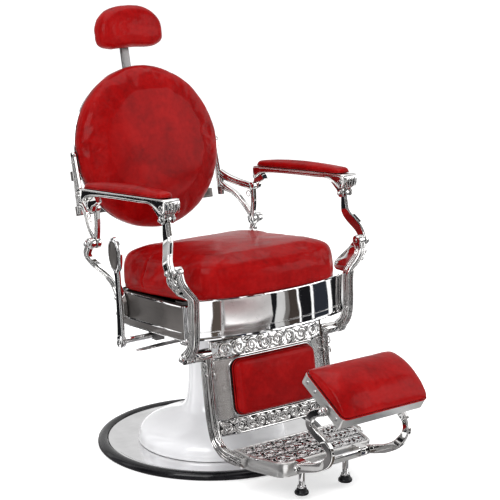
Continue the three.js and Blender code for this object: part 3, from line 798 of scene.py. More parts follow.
# headrest: kidney pad with a boxed edge
HEAD = BACK @ Matrix.Translation((0, BACK_C[0] + 49.4, 655)) @ Matrix.Rotation(math.radians(90), 4, "X")
head_in = HEAD.inverted()
head_outline = []
for i in range(120):
    a = 2 * math.pi * i / 120
    ca, sa = math.cos(a), math.sin(a)
    ex, up, ey = (0.80, 82.0, 0.98) if sa > 0 else (0.52, 56.0, 0.46)
    hx = math.copysign(120 * abs(ca) ** ex, ca)
    hy = math.copysign(up * abs(sa) ** ey, sa) - 8.0
    if sa < 0:
        hy += 5.0 * max(0.0, 1 - (hx / 70) ** 2)
    head_outline.append((hx, hy))
HEAD_PIN = lambda co: 1.0 if (head_in @ (co / MM)).z < 4 else 0.0
headpad = soft("headrest_leather", cushion(head_outline, [(0.5, 9), (3, 4), (10, 1), (22, 0), (34, 2), (44, 7), (51, 15), (55, 26)], 4.5, n=120, rings=18, dome=1.7), "headrest", "headrest_pad", HEAD,
               sim=dict(pressure=4.0, cap=5.0, voxel=4.5, pins=HEAD_PIN), detail=1.3, detail_scale=24.0)

# arm pads, crowned, with a welt round the edge
for side, sign in (("left", 1), ("right", -1)):
    top = lambda y: 818 - 0.08 * (y - 150)
    v, f = cushion(round_rect(300, 348, -245, 175, 20, 8), [(0.6, 3), (2.5, 1), (6, 0), (10, 1.5), (13.5, 5.5), (15.6, 11)], 3.4, n=150, rings=10, dome=1.6)
    v = [(x, y, z * (1 + 0.42 * (1 - min(1, abs((y + 35) / 212)) ** 2.2)) + top(y)) for x, y, z in v]
    o = soft("arm_leather_" + side, (v, f), "armrest_" + side, "arm_pad_" + side, None, detail=0.5, sign=sign, detail_scale=40.0)
    ring = [(x, y, top(y) + 3.2) for x, y in resample(round_rect(299.6, 348.4, -245.6, 175.6, 20.4, 8), 120)]
    welt("arm_welt_" + side, ring, 1.5, "armrest_" + side, sign=sign, mat="red")

# calf pad
CALF = LEG @ Matrix.Translation((0, -22.4, -109)) @ Matrix.Rotation(math.radians(90), 4, "X")
calf_in = CALF.inverted()
soft("calf_leather", cushion(round_rect(-146.5, 146.5, -80.5, 80.5, 26, 8), [(0.5, 5), (3, 1.5), (9, 0), (15, 1.0), (21, 5), (25, 13)], 3.6, n=130, rings=14, dome=1.7), "leg_rest", "calf_pad", CALF, detail=0.7, detail_scale=26.0)
welt("calf_welt", [(x, y, 3.4) for x, y in resample(round_rect(-147.6, 147.6, -81.6, 81.6, 27, 8), 130)], 2.4, "leg_rest", M=CALF, mat="red")

# foot pad: barrel-crowned across its width
rest_in = REST.inverted()


def foot_pad():
    n = 150
    O = np.array(resample(round_rect(-152.5, 152.5, -64.5, 122.5, 17, 8), n))
    c = np.array([0.0, 29.0])
    rows = []

    def crown(x, y):
        q = min(1.0, abs((y - 29) / 93.5))
        e = min(1.0, abs(x / 152.5))
        return 30.0 * (1 - q**2.1) * (1 - 0.22 * e**4) + 9.0 * (1 - e**9) * (1 - q**8)

    for z, s in [(26.6, 0.975), (28.5, 0.992), (31, 1.0), (34, 1.0)]:
        rows.append([(*(c + (p - c) * s), z) for p in O])
    for k in range(1, 31):
        s = 1 - (k / 30)
        s = math.sin(s * math.pi / 2) ** 0.9 if k < 30 else 0.0
        rows.append([(*(c + (p - c) * s), 34 + crown(*(c + (p - c) * s))) for p in O])
    a = loft(rows, caps=False)
    b = loft([[(*(c + (p - c) * 0.975 * s), 26.6) for p in O] for s in (1, 0.7, 0.4, 0.0)], caps=False)
    return merge(a, (b[0], [tuple(reversed(q)) for q in b[1]]))


soft("foot_leather", foot_pad(), "foot_pad", "foot_pad_cushion", REST,
     sim=dict(pressure=3.0, cap=3.5, voxel=4.5, pins=lambda co: 1.0 if (rest_in @ (co / MM)).z < 31 else 0.0), detail=0.8, detail_scale=22.0)
welt("foot_welt", [(x, y, 28.6) for x, y in resample(round_rect(-153.2, 153.2, -65.2, 123.2, 18, 8), 150)], 2.2, "foot_pad", M=REST, mat="red")

# ------------------------------------------------------------------ base and column
build("base_disc_plate", ring_z([(62, 8.2), (300, 8.2), (325, 8.2), (326.4, 10), (326.4, 14.5), (325, 16.6), (321, 17), (316, 15.4), (309, 12.3), (300, 11.2), (232, 10.8), (62, 10.6)]), "chrome", "base", "base_disc")
build("base_rim_ring", ring_z([(328, 2.0), (329, 0.4), (332, 0.0), (351, 0.0), (355.5, 1.4), (357.6, 4.5), (358, 8), (357, 13), (353.5, 18.2), (347, 22.2), (340, 23.4), (333, 22.2), (329.4, 19.6), (328.2, 17)]), "rubber", "base", "base_rim")
cov, _ = catmull([(231, 12), (231, 25), (229.4, 37), (223, 50), (208, 63), (184, 75), (153, 86.5), (123, 98), (100, 111), (85, 131), (77, 160), (74.3, 200), (74, 260), (74, 352)], 90)
inn = [(r - 4, z - 1.5) for r, z in cov][::-1]
build("column_cover_bell", ring_z([(231.6, 12), (232.6, 13.2), (232.6, 17), (231.4, 18.4)] + [(r, z) for r, z in cov if z > 18.6] + [(70, 352)] + [(r, max(12, z)) for r, z in inn[1:]], 160), "white", "base", "column_cover", sharp=50)
build("column_collar_ring", ring_z([(39, 352.4), (74.5, 352.4), (76, 353.8), (76, 359.5), (74.4, 362), (71, 363), (39, 363)], 96), "rubber", "base", "column_collar")

# ------------------------------------------------------------------ seat frame
for side, sign in (("left", 1), ("right", -1)):
    nose = [(253 + 9 * math.cos(a), -231 + 9 * math.sin(a)) for a in [math.radians(-180 + 180 * i / 12) for i in range(13)]]
    build("side_plate_" + side, plate_z([(262, 112), (244, 112), (244, -226)] + [(x, y) for x, y in nose] + [(262, -226)], 0.2, 104.8), "satin", "turning_frame", "side_panel_" + side, M=SEATBOX, sign=sign, bevel=1.6)
    trim = [block(262.0, 263.3, -222, 111.5, 22.6, 27.4), block(261.9, 263.4, -224, 111.5, 99.5, 104.4), block(261.9, 263.4, -224, 111.5, 0.8, 4.6)]
    build("side_trim_" + side, merge(*trim), "chrome", "turning_frame", M=SEATBOX, sign=sign, bevel=0.5)
    post = lathe_z([(7.5, -1.0), (9.8, 0.6), (9.8, 4), (8.9, 6), (8.9, 99), (9.8, 101), (9.8, 104), (7.5, 105.6)], 253, -232.5, 40)
    foot = merge(block(246, 268, -246, -222, -7, 9), nut(268, -234, 1, 7))
    build("side_post_" + side, merge(post), "chrome", "turning_frame", M=SEATBOX, sign=sign)
    build("side_foot_" + side, foot, "chrome", "turning_frame", M=SEATBOX, sign=sign, bevel=1.2)


def bowed(sect, half, y0, y1, seam=0.0, n=96):
    """A YZ section carried across X on a bowed line."""
    rings = []
    for i in range(n + 1):
        x = -half + 2 * half * i / n
        if seam:
            for s in (-1, 1):
                for d in (-3, -1.2, 0, 1.2, 3):
                    if abs(x - (s * seam + d)) < half / n * 0.9:
                        x = s * seam + d if d else s * seam
        k = 1 - (x / half) ** 2
        g = 1.6 if seam and abs(abs(x) - seam) < 0.6 else 0.0
        rings.append([(x, y0 + (y1 - y0) * k + y + (g if y < 3 else 0), z) for y, z in sect])
    rings.sort(key=lambda r: r[0][0])
    keep = [rings[0]]
    for r in rings[1:]:
        if r[0][0] - keep[-1][0][0] > 0.4:
            keep.append(r)
    return loft(keep)


apron = [(0, 449), (-3.6, 447.6), (-5.0, 444), (-4.2, 441), (-1.5, 439.8), (5.5, 440), (7, 446), (7, 552), (6, 557), (3, 558.6), (0.6, 557.4), (-0.6, 555), (0, 551.5), (0, 466.5), (0.4, 466), (1.6, 465.4), (1.6, 463.6), (0.4, 463), (0, 462.5)]
build("front_apron_skirt", bowed(apron, 266.3, -304, -352, seam=206), "chrome", "turning_frame", "front_apron", sharp=28)
rear = [(0, 412.4), (-1, 411.8), (-5, 411.8), (-6, 413), (-6, 506), (-5, 508), (-2, 508.4), (0.6, 507), (1.2, 504), (0.2, 501), (0, 430), (1.6, 428), (1.6, 424), (0, 422)]
build("rear_skirt", bowed([(y - 0.2, z) for y, z in rear], 243, 122, 148), "chrome", "turning_frame", "rear_panel", sharp=28)

for side, sign in (("left", 1), ("right", -1)):
    out = lambda y, z: 49 * smooth(556, 632, z)
    parts = [
        bar([(-277, 392), (-297, 410), (-310, 440), (-311, 548), (-312, 580), (-314, 610), (-309, 634), (-303, 649)], [15, 14, 14, 14, 14, 14], 271.6, 296.4, out, 84, r=4.0, side=3, front=3, depth=3.0, k=30),
        boss(271.6, 296.4, KNEE[0], KNEE[1], 17.5, 2.4), boss(320.6, 345.6, LINK_LOW[0], LINK_LOW[1], 16.6, 2.4),
        boss(274, 297.6, -311, 566, 4.5, 1.2, 24),
    ]
    # leaf ornaments on the outward bend and a shell under the link pin
    orn = []
    for dz, rr in ((-12, 13), (-34, 10)):
        sp = spiral(-309, 632 + dz, rr, 1.3, math.pi / 2, 1)
        orn.append(tube([(346.5 + (0 if dz > -20 else -9), y, z) for y, z in sp], [2.6 - 1.2 * i / 26 for i in range(27)], 8, 0.8, (1, 0, 0)))
    for q in range(5):
        a = math.radians(200 + 35 * q)
        P, _ = catmull([(344.5, -304 + 12 * math.cos(a) * 0.2, 628), (348, -306 + 9 * math.cos(a), 622 + 7 * math.sin(a)), (345.5, -306 + 17 * math.cos(a), 620 + 16 * math.sin(a))], 10)
        orn.append(tube(P, [3.2 * (0.5 + math.sin(math.pi * (0.1 + 0.8 * i / 10))) * 0.7 for i in range(11)], 8, 0.8, (1, 0, 0)))
    # scrolled web that fills the corner behind the outward bend
    web, vein = [], []
    EDGE = [(562, -306, -262), (568, -314, -246), (580, -318, -240), (596, -319, -243), (612, -318, -252), (624, -316, -262), (636, -314, -272), (646, -312, -284), (652, -308, -294)]
    for z in np.linspace(562, 652, 26):
        ya = float(np.interp(z, [q[0] for q in EDGE], [q[1] for q in EDGE]))
        yb = float(np.interp(z, [q[0] for q in EDGE], [q[2] for q in EDGE]))
        xo = 282 + out(0, z)
        web.append([(xo + a, yb + (ya - yb) * b, z) for a, b in ((-6, 0.98), (-6, 0.06), (-3, 0.0), (4, 0.0), (8, 0.05), (9.5, 0.16), (9.0, 0.5), (9.5, 0.98))])
    for cy, cz, rr, st, hd, turns in ((-262, 585, 17, 1.1, 1, 1.5), (-274, 614, 12, 0.2, -1, 1.4), (-290, 636, 8.5, 1.2, 1, 1.2)):
        sp = spiral(cy, cz, rr, turns, st * math.pi, hd, 34, 0.16)
        vein.append(tube([(292.0 + out(0, z), y, z) for y, z in sp], [4.2 * rr / 17 * (1.0 - 0.5 * i / 34) + 0.8 for i in range(35)], 8, 0.9, (1, 0, 0)))
    P, _ = catmull([(-247, 566), (-238, 582), (-243, 600), (-256, 618), (-272, 637), (-292, 652)], 30)
    vein.append(tube([(290.5 + out(0, z), y, z) for y, z in P], 3.2, 8, 0.9, (1, 0, 0)))
    build("side_web_" + side, merge(loft(web), *vein), "cast", "turning_frame", sign=sign, sharp=50)
    build("side_cast_" + side, merge(*parts), "cast", "turning_frame", "side_casting_" + side, sign=sign, sharp=40)
    build("side_leaf_" + side, merge(*orn), "cast", "turning_frame", sign=sign, sharp=180)
    rparts = [
        bar([(187, 638), (204, 606), (190, 572), (150, 543), (108, 512), (84, 470), (80, 425)], [12, 12, 12, 13, 16, 19, 18], 263.4, 282.6, lambda y, z: 44 * smooth(530, 612, z), 72, r=4.0, side=3, depth=2.6, k=28),
        boss(306.6, 327.2, RECLINE[0], RECLINE[1], 17.5, 2.4), nut(282.8, 84, 440, 8), nut(282.8, 92, 486, 8),
    ]
    build("rear_cast_" + side, merge(*rparts), "cast", "turning_frame", "rear_casting_" + side, sign=sign, sharp=40)
    build("recline_nut_" + side, merge(boss(284.5, 329, RECLINE[0], RECLINE[1], 7, 0.8), nut(327.6, RECLINE[0], RECLINE[1], 10.5)), "chrome", "turning_frame", "recline_pin_" + side, sign=sign)
    build("knee_nut_" + side, merge(boss(236.5, 298, KNEE[0], KNEE[1], 7, 0.8), nut(297, KNEE[0], KNEE[1], 10.5)), "chrome", "turning_frame", "knee_pin_" + side, sign=sign)

# ------------------------------------------------------------------ levers
arm = bar([SHAFT, (-23, 440), (-17, 520), (-12, 575), (-7, 606)], [17, 14.5, 13, 11.5, 13], -350.6, -339.4, None, 44, r=4.5, depth=0.0, k=10)
oval = []
for i in range(64):
    a = 2 * math.pi * i / 64
    oval.append((-1 + 3 * math.sin(a) * 2 + 30 * math.cos(a), 645 + 52 * math.sin(a)))


def slab(outline, x0, x1, edge, c):
    """An oval plate with rounded edges, from x0 to x1."""
    rings = []
    s = 1 if x1 > x0 else -1
    for x, k in [(x0, 1 - edge), (x0 + s * 1.0, 1 - edge * 0.3), (x0 + s * 2.4, 1.0), (x1 - s * 2.4, 1.0), (x1 - s * 1.0, 1 - edge * 0.3), (x1, 1 - edge)]:
        rings.append([(x, c[0] + (y - c[0]) * k, c[1] + (z - c[1]) * k) for y, z in outline])
    return loft(rings)


paddle = slab(oval, -352.5, -338.0, 0.1, (-1, 645))
grip = [slab([(-1 + (y + 1) * 0.68, 645 + (z - 645) * 0.78) for y, z in oval], -353.4, -351.6, 0.05, (-1, 645)), slab([(-1 + (y + 1) * 0.68, 645 + (z - 645) * 0.78) for y, z in oval], -338.9, -337.1, 0.05, (-1, 645))]
bead = [tube([(x, -1 + (y + 1) * 0.76, 645 + (z - 645) * 0.84) for y, z in oval + oval[:1]], 1.6, 8, 0.9, (1, 0, 0)) for x in (-352.8, -337.7)]
build("pump_handle", merge(arm, paddle, boss(-352.5, -337.5, SHAFT[0], SHAFT[1], 19, 2.4), boss(-339, -116.5, SHAFT[0], SHAFT[1], 9, 1.0), *bead, screw(-352.4, SHAFT[0], SHAFT[1], 9, -1)), "chrome", "pump_lever", "pump_lever", sharp=40)
build("pump_grip", merge(*grip), "satin", "pump_lever", sharp=40)
blade = []
for i in range(49):
    x = -118 - 227 * i / 48
    w = 9 + 4.5 * math.sin(math.pi * min(1, (i / 48)) * 0.9)
    if i > 42:
        w *= math.sqrt(max(0.02, 1 - ((i - 42) / 6.2) ** 2))
    t = 4.0 - 1.2 * i / 48
    blade.append([(x, -100 + w * math.cos(a) * (1 if abs(math.cos(a)) < 0.9 else 1), 381 + t * math.sin(a) - 3.0 * smooth(20, 48, i)) for a in [2 * math.pi * k / 28 for k in range(28)]])
build("recline_blade", merge(loft(blade), lathe_y([(-112.5, 6), (-112, 8.2), (-110, 9.2), (-90, 9.2), (-88, 8.2), (-87.5, 6)], -124, 381)), "chrome", "recline_lever", "recline_lever", sharp=50)

# ------------------------------------------------------------------ backrest metalwork
for nm, z0, z1 in (("upper", 196, 226), ("lower", 86, 116)):
    sect = round_rect(BACK_C[0] + 58.8, BACK_C[0] + 66, z0, z1, 2.6, 4)
    build("back_strap_plate_" + nm, merge(loft([[(x, y, z) for y, z in sect] for x in (-260.4, -130, 0, 130, 260.4)]),
          *[moved(lathe_y([(BACK_C[0] + 65.6, 7.5), (BACK_C[0] + 68.4, 7.2), (BACK_C[0] + 70, 4.6), (BACK_C[0] + 70.3, 1.0)], x, (z0 + z1) / 2, 28), Matrix.Identity(4)) for x in (-236, -120, 120, 236)]),
          "satin", "backrest", "back_strap_" + nm, M=BACK, sharp=40)
for side, sign in (("left", 1), ("right", -1)):
    inward = lambda y, z: -27 * smooth(205, 318, y)
    kw = dict(r=3.6, side=2, depth=2.4, k=22)
    parts = [
        bar([RECLINE, (176, 696), ARM_REAR], [10, 8, 9], 288.4, 303.6, None, 30, **kw),
        bar([(184, 746), (215, 749), (250, 754), (322, 774)], [11, 11, 12, 14], 288.0, 304.4, inward, 44, **kw),
        bar([(186, 650), (222, 682), (262, 716), (322, 738)], [10, 8.5, 9, 13], 288.4, 303.6, inward, 48, **kw),
        bar([(318, 704), (326, 760), (342, 832), (354, 885)], [10, 15, 11, 8], 261.2, 276.8, None, 44, r=5, side=2, depth=1.6, k=14),
        boss(287.6, 304.4, RECLINE[0], RECLINE[1], 17.5, 2.4), boss(287.6, 304.4, ARM_REAR[0], ARM_REAR[1], 12.5, 2),
        lathe_x([(262, 5), (261.4, 8.6), (264, 10.2), (274, 10.2), (276.6, 8.6), (276.9, 5)], 354, 884, 32),
        screw(276.6, 348, 862, 6.2), screw(276.6, 327, 768, 5.6),
    ]
    build("back_fork_" + side, merge(*parts), "cast", "backrest", "back_bracket_" + side, sign=sign, sharp=40)
    curl = [tube([(304.0 - 27 * smooth(205, 318, y), y, z) for y, z in spiral(214, 716, 13, 1.2, math.pi * 0.9, -1)], [2.4 - 1.2 * i / 26 for i in range(27)], 8, 0.9, (1, 0, 0))]
    build("back_fork_curl_" + side, merge(*curl), "cast", "backrest", sign=sign, sharp=180)

# headrest socket, post and clamp knob
y0, y1 = BACK_C[0] + 58.8, BACK_C[0] + 78
wall = [block(-26, -16.4, y0, y1, 452, 520), block(16.4, 26, y0, y1, 452, 520), block(-17, 17, BACK_C[0] + 73.6, y1, 452, 520), block(-17, 17, y0, BACK_C[0] + 60.4, 452, 520)]
flange = [block(-34, -25, y0, y0 + 5, 464, 508), block(25, 34, y0, y0 + 5, 464, 508)]
rivets = [lathe_y([(y0 + 4.6, 3.4), (y0 + 6.4, 3.2), (y0 + 7.2, 1.6)], x, z, 20) for x in (-30, 30) for z in (471, 501)]
build("headrest_clamp", merge(*wall, *flange, *rivets), "chrome", "backrest", "headrest_socket", M=BACK, bevel=1.0)
post = [(x, y) for x, y in round_rect(-15.5, 15.5, BACK_C[0] + 61.4, BACK_C[0] + 72.6, 4.2, 6)]
zs = [380, 381, 382.4] + [382.4 + 4.2 * i for i in range(1, 64)] + [652.5, 655]
rings = []
for z in zs:
    k = 0.94 if z in (380, 655) else 1.0
    rings.append([(x * k, BACK_C[0] + 67 + (y - BACK_C[0] - 67) * k, z) for x, y in post])
groovy = [block(-15.9, -14.6, BACK_C[0] + 64.5, BACK_C[0] + 69.5, z, z + 3) for z in range(392, 452, 8)]
mount = plate_z([(x, y) for x, y in round_rect(-30, 30, BACK_C[0] + 50, BACK_C[0] + 64, 5, 5)], 630, 676)
tilt = [lathe_x([(-31.6, 5), (-31, 7), (-28, 7.4), (28, 7.4), (31, 7), (31.6, 5)], BACK_C[0] + 66.5, 653, 28)]
build("headrest_bar", merge(loft(rings), mount, *tilt), "steel", "headrest", "headrest_post", M=BACK, bevel=0.8)
kn = []
kc = (0, 486)
for y, r, a in [(90, 8, 0), (90.6, 12, 0.4), (92.5, 13, 1.0), (100, 13, 1.0), (102.6, 12, 0.6), (104, 9, 0), (104.2, 3, 0)]:
    kn.append([((r - 0.9 * a * (0.5 - 0.5 * math.cos(12 * t))) * math.cos(t), BACK_C[0] + y, 486 + (r - 0.9 * a * (0.5 - 0.5 * math.cos(12 * t))) * math.sin(t)) for t in [2 * math.pi * i / 96 for i in range(96)]])
build("headrest_knob_cap", merge(loft(kn), lathe_y([(BACK_C[0] + 78.6, 3.4), (BACK_C[0] + 79.4, 4.1), (BACK_C[0] + 91, 4.1)], 0, 486, 24)), "rubber", "backrest", "headrest_knob", M=BACK, sharp=45)

# ------------------------------------------------------------------ armrests and front links
for side, sign in (("left", 1), ("right", -1)):
    top = lambda y: 818 - 0.08 * (y - 150)
    under = [(-262, 810), (-255, 806), (-244, 808), (-232, 815), (-216, 822), (-190, 829), (-140, 825), (-60, 819), (20, 812.5), (90, 805), (130, 799), (156, 790), (172, 778)]
    low, _ = catmull([(y, z - (0 if y < -150 else 0)) for y, z in under], 60)
    up = [(186, top(186) - 6), (184.5, top(184) - 2), (180, top(180) - 0.6)] + [(y, top(y)) for y in np.linspace(170, -255, 30)] + [(-262, top(-262) - 1.2), (-268, top(-265) - 5), (-270.5, top(-268) - 11), (-270, 826), (-268.5, 817), (-266, 812)]
    outline = up + [tuple(p) for p in low] + [(180, 772), (186, 779)]
    main = outline_plate(outline, 298, 350)
    edge = []
    for x in (297.6, 350.4):
        edge.append(tube([(x, y, z + 2.8) for y, z in low], [2.4 + 1.0 * math.sin(math.pi * i / 60) for i in range(61)], 8, 0.8, (1, 0, 0)))
        edge.append(tube([(x, y, top(y) - 4.0) for y in np.linspace(182, -262, 50)], 1.9, 8, 0.8, (1, 0, 0)))
        edge.append(tube([(x, y, z) for y, z in spiral(-251, 822, 12.5, 1.5, math.pi * 1.5, 1, 34, 0.16)], [2.5 - 1.3 * i / 34 for i in range(35)], 8, 0.8, (1, 0, 0)))
    for q in (-16, -5.5, 5.5, 16):
        P, _ = catmull([(324 + q, -269.6, 842), (324 + q, -271.2, 830), (324 + q * 0.8, -268.8, 816), (324 + q * 0.6, -262, 809)], 16)
        edge.append(tube(P, 2.6, 8, 0.8, (0, 1, 0)))
    legs = [
        bar([(150, 794), (163, 782), (174, 768), ARM_REAR], [25, 21, 15, 12.6], 303.6, 322.4, None, 30, r=4, k=10),
        boss(305.6, 320.4, ARM_REAR[0], ARM_REAR[1], 13, 2),
    ]
    for a, b in ((305.2, 311.8), (338.2, 344.8)):
        legs += [bar([(-224, 831), (-233, 815), (-241, 800), ARM_FRONT], [28, 21, 14.5, 12.4], a, b, None, 30, r=2.2, k=8), boss(a - 0.2, b + 0.2, ARM_FRONT[0], ARM_FRONT[1], 12.4, 1.4)]
    legs += [boss(301, 348, ARM_FRONT[0], ARM_FRONT[1], 5, 0.6, 24), nut(344.9, ARM_FRONT[0], ARM_FRONT[1], 7), nut(305.1, ARM_FRONT[0], ARM_FRONT[1], 7, -1), boss(287, 324, ARM_REAR[0], ARM_REAR[1], 5, 0.6, 24), nut(320.3, ARM_REAR[0], ARM_REAR[1], 7.5)]
    body = build("arm_cast_" + side, main, "cast", "armrest_" + side, "armrest_" + side, sign=sign, sharp=38, bevel=2.6)
    build("arm_leg_" + side, merge(*legs), "cast", "armrest_" + side, sign=sign, sharp=40)
    build("arm_scroll_" + side, merge(*edge), "cast", "armrest_" + side, sign=sign, sharp=180)
    out = lambda y, z: -29 * smooth(668, 742, z)
    link = [
        bar([LINK_LOW, (-281, 688), (-252, 732), (ARM_FRONT[0] - 1, ARM_FRONT[1] - 8)], [16, 19, 18.5, 13], 345.2, 365.0, out, 60, r=6.5, side=0, front=0, depth=0.0, k=16),
        boss(346.8, 361.2, LINK_LOW[0], LINK_LOW[1], 16.4, 2.4), boss(317.8, 332.2, ARM_FRONT[0], ARM_FRONT[1], 13.6, 2.2),
        nut(361, LINK_LOW[0], LINK_LOW[1], 9.5), boss(324, 350, LINK_LOW[0], LINK_LOW[1], 6, 0.6, 24),
        nut(323.4, LINK_LOW[0], LINK_LOW[1], 7, -1, False),
    ]
    build("front_link_cast_" + side, merge(*link), "cast", "front_link_" + side, "front_link_" + side, sign=sign, sharp=40)

# ------------------------------------------------------------------ leg rest
for side, sign in (("left", 1), ("right", -1)):
    rail = [
        bar([(0, 0), (4, -30), (6, -90), (4, -200), (-8, -252), (-44, -284), (-90, -296), (-128, -303)], [14, 14.5, 14.5, 14.5, 14.5, 15.5, 16.5, 15], 205.8, 228.4, lambda y, z: -3 * smooth(-20, -120, y), 110, r=3.6, side=3, front=3, depth=3.0, k=30),
        boss(205.6, 264, 0, 0, 17.5, 2.4), screw(224.8, -118, -300, 7.5), screw(224.8, -72, -292, 6),
    ]
    build("leg_rail_cast_" + side, merge(*rail), "cast", "leg_rest", "leg_rail_" + side, M=LEG, sign=sign, sharp=40)
    orn = []
    for (cy, cz, rr, st, hd) in ((-4, -34, 15, 0.5, 1), (-6, -62, 11, 1.4, -1), (6, -12, 9, 0.2, 1)):
        orn.append(tube([(204.6, y, z) for y, z in spiral(cy, cz, rr, 1.35, st * math.pi, hd, 30, 0.18)], [2.8 - 1.5 * i / 30 for i in range(31)], 8, 0.8, (1, 0, 0)))
        orn.append(tube([(229.2, y, z) for y, z in spiral(cy, cz, rr * 0.9, 1.35, st * math.pi, hd, 30, 0.18)], [2.4 - 1.2 * i / 30 for i in range(31)], 8, 0.8, (1, 0, 0)))
    build("knee_scroll_" + side, merge(*orn), "cast", "leg_rest", M=LEG, sign=sign, sharp=180)


def leg_front(x):
    """How far forward the bowed leg panels stand at x."""
    P = [(-205, -3), (-180, -9), (-155, -17), (-120, -20), (0, -22), (120, -20), (155, -17), (180, -9), (205, -3)]
    return float(np.interp(x, [p[0] for p in P], [p[1] for p in P]))


def leg_smooth(x):
    return sum(leg_front(min(205, max(-205, x + d))) for d in (-12, -6, 0, 6, 12)) / 5


def panel(z0, z1, t, proud=0.0, n=72):
    rings = []
    for i in range(n + 1):
        x = -204.8 + 409.6 * i / n
        y = leg_smooth(x) - proud
        rings.append([(x, y, z0 + 0.6), (x, y - 0.0, z1 - 0.6), (x, y + 0.6, z1), (x, y + t, z1), (x, y + t, z0), (x, y + 0.6, z0)])
    return loft(rings)


def rail_bead(z, r=2.6, n=72):
    return tube([(x, leg_smooth(x) - 0.2, z) for x in np.linspace(-203, 203, n)], r, 8, 0.9, (0, 0, 1))


on_leg = lambda x, z: (x, leg_smooth(x) - 0.8, z)
NY = (0, -1, 0)
# a near-black back sheet behind the lower filigree band: painted shade
build("leg_band_back_bottom", panel(-245.8, -196.6, 5.4), "recess", "leg_rest", "leg_panel_bottom", M=LEG, sharp=30)
build("leg_panel_sheet", panel(-195.8, -22.6, 4.6), "plate", "leg_rest", "leg_panel_middle", M=LEG, sharp=30)
for nm, z0, z1 in (("top", -21.8, 35.8), ("bottom", -245.8, -196.6)):
    mid = (z0 + z1) / 2
    hh = (z1 - z0) / 2 - 4
    work = scrollwork(0, 204, z0 + 2, z1 - 2, on_leg, NY, bead=4.6, pitch=2.35)
    rose = [tube([on_leg(14 * math.cos(a), mid + 14 * math.sin(a)) for a in [2 * math.pi * k / 40 for k in range(41)]], 3.4, 8, 0.8, NY)]
    for k in range(6):
        a = 2 * math.pi * k / 6
        rose.append(tube([on_leg(q * math.cos(a), mid + q * math.sin(a)) for q in np.linspace(1, 11, 8)], [1.0, 2.2, 3.1, 3.5, 3.3, 2.8, 1.9, 0.8], 8, 0.8, NY))
    # leaves that tie the scrolls to the border
    for i in range(-6, 7):
        cx = i * 32.0
        for sg in (1, -1):
            h2 = hh * (0.55 + 0.12 * ((i * 7) % 3))
            P, _ = catmull([(cx - 8, mid + sg * hh), (cx - 1, mid + sg * h2), (cx + 7, mid + sg * (h2 - 5)), (cx + 12, mid + sg * (h2 + 1))], 12)
            work.append(tube([on_leg(*q) for q in P], [1.0 + 3.2 * math.sin(math.pi * j / 12) for j in range(13)], 8, 0.8, NY))
    ends = [tube([on_leg(sx * 203, z) for z in np.linspace(z0 + 2, z1 - 2, 12)], 3.2, 8, 0.9, NY) for sx in (-1, 1)]
    borders = [panel(z0, z0 + 6.4, 5.4), panel(z1 - 6.4, z1, 5.4), rail_bead(z0 + 3.2), rail_bead(z1 - 3.2)]
    build("leg_filigree_" + nm, merge(*work, *rose, *ends, *borders), "cast", "leg_rest", "leg_panel_top" if nm == "top" else (), M=LEG, sharp=40)
# picture frame round the calf pad
rim = [(x, z) for x, z in resample(round_rect(-154, 154, -197 + 3.5, -24.5, 30, 8), 160)]
build("calf_frame", (lambda P: tube(P + P[:1], 2.6, 8, 0.9, NY))([(x, leg_smooth(x) - 0.6, z) for x, z in rim]), "chrome", "leg_rest", M=LEG, sharp=180)

# ------------------------------------------------------------------ footplate
FP = [(-202, -386), (202, -386), (202, -450), (197, -470), (176, -536), (170, -551), (160, -561), (146, -566), (-146, -566), (-160, -561), (-170, -551), (-176, -536), (-197, -470), (-202, -450)]


def shrink(outline, d):
    O = np.array(outline)
    T = np.roll(O, -1, 0) - np.roll(O, 1, 0)
    T /= np.linalg.norm(T, axis=1)[:, None]
    N = np.stack([-T[:, 1], T[:, 0]], 1)
    if np.mean(np.sum(N * (O.mean(0) - O), 1)) < 0:
        N = -N
    return [tuple(p) for p in O + N * d]


fpr = resample(FP, 220)
skirt_prof = [(4.5, 118.8), (4.5, 86), (4.0, 84.4), (2.4, 84.0), (0.6, 84.2), (-0.6, 85.4), (-0.8, 88.6), (0.2, 90.2), (0.2, 117.2), (-0.5, 118.6), (-0.5, 123.6), (0.6, 126.2), (3.0, 127.2), (5.6, 127.2), (7.0, 126.0), (8.0, 123.6), (60, 123.6)]
rows = [[(x, y, z) for x, y in shrink(fpr, d)] for d, z in skirt_prof[:-1]]
skirt = loft(rows, caps=False)
in_poly = shrink(fpr, 7.5)
cap_top = loft([[(x, y, 124.0) for x, y in in_poly], [(x * 0.5, -476 + (y + 476) * 0.5, 124.0) for x, y in in_poly], [(x * 0.02, -476 + (y + 476) * 0.02, 124.0) for x, y in in_poly]], caps=True)
under = loft([[(x, y, z) for x, y in shrink(fpr, 4.5)] for z in (118.8, 123.0)], caps=True)
lug = []
for s in (1, -1):
    xa, xb = (90, 118.7) if s > 0 else (-118.7, -90)
    prof_ = [(-562, 100), (-562, 128.6), (-584, 128.6), (-590, 130.5), (-598, 129.4), (-604.5, 124), (-606.8, 116), (-604.5, 108), (-598, 102.6), (-590, 101.2), (-584, 100)]
    rings_ = []
    for xx, k in ((xa, 0.93), (xa + 1.4, 0.985), (xa + 2.4, 1.0), (xb - 2.4, 1.0), (xb - 1.4, 0.985), (xb, 0.93)):
        rings_.append([(xx, -584 + (y + 584) * k, 115 + (z - 115) * k) for y, z in resample(prof_, 60)])
    lug.append(loft(rings_))
build("footplate_skirt", merge(skirt), "grey", "leg_rest", "foot_plate", sharp=40)
build("footplate_lugs", merge(*lug), "cast", "leg_rest", sharp=40)
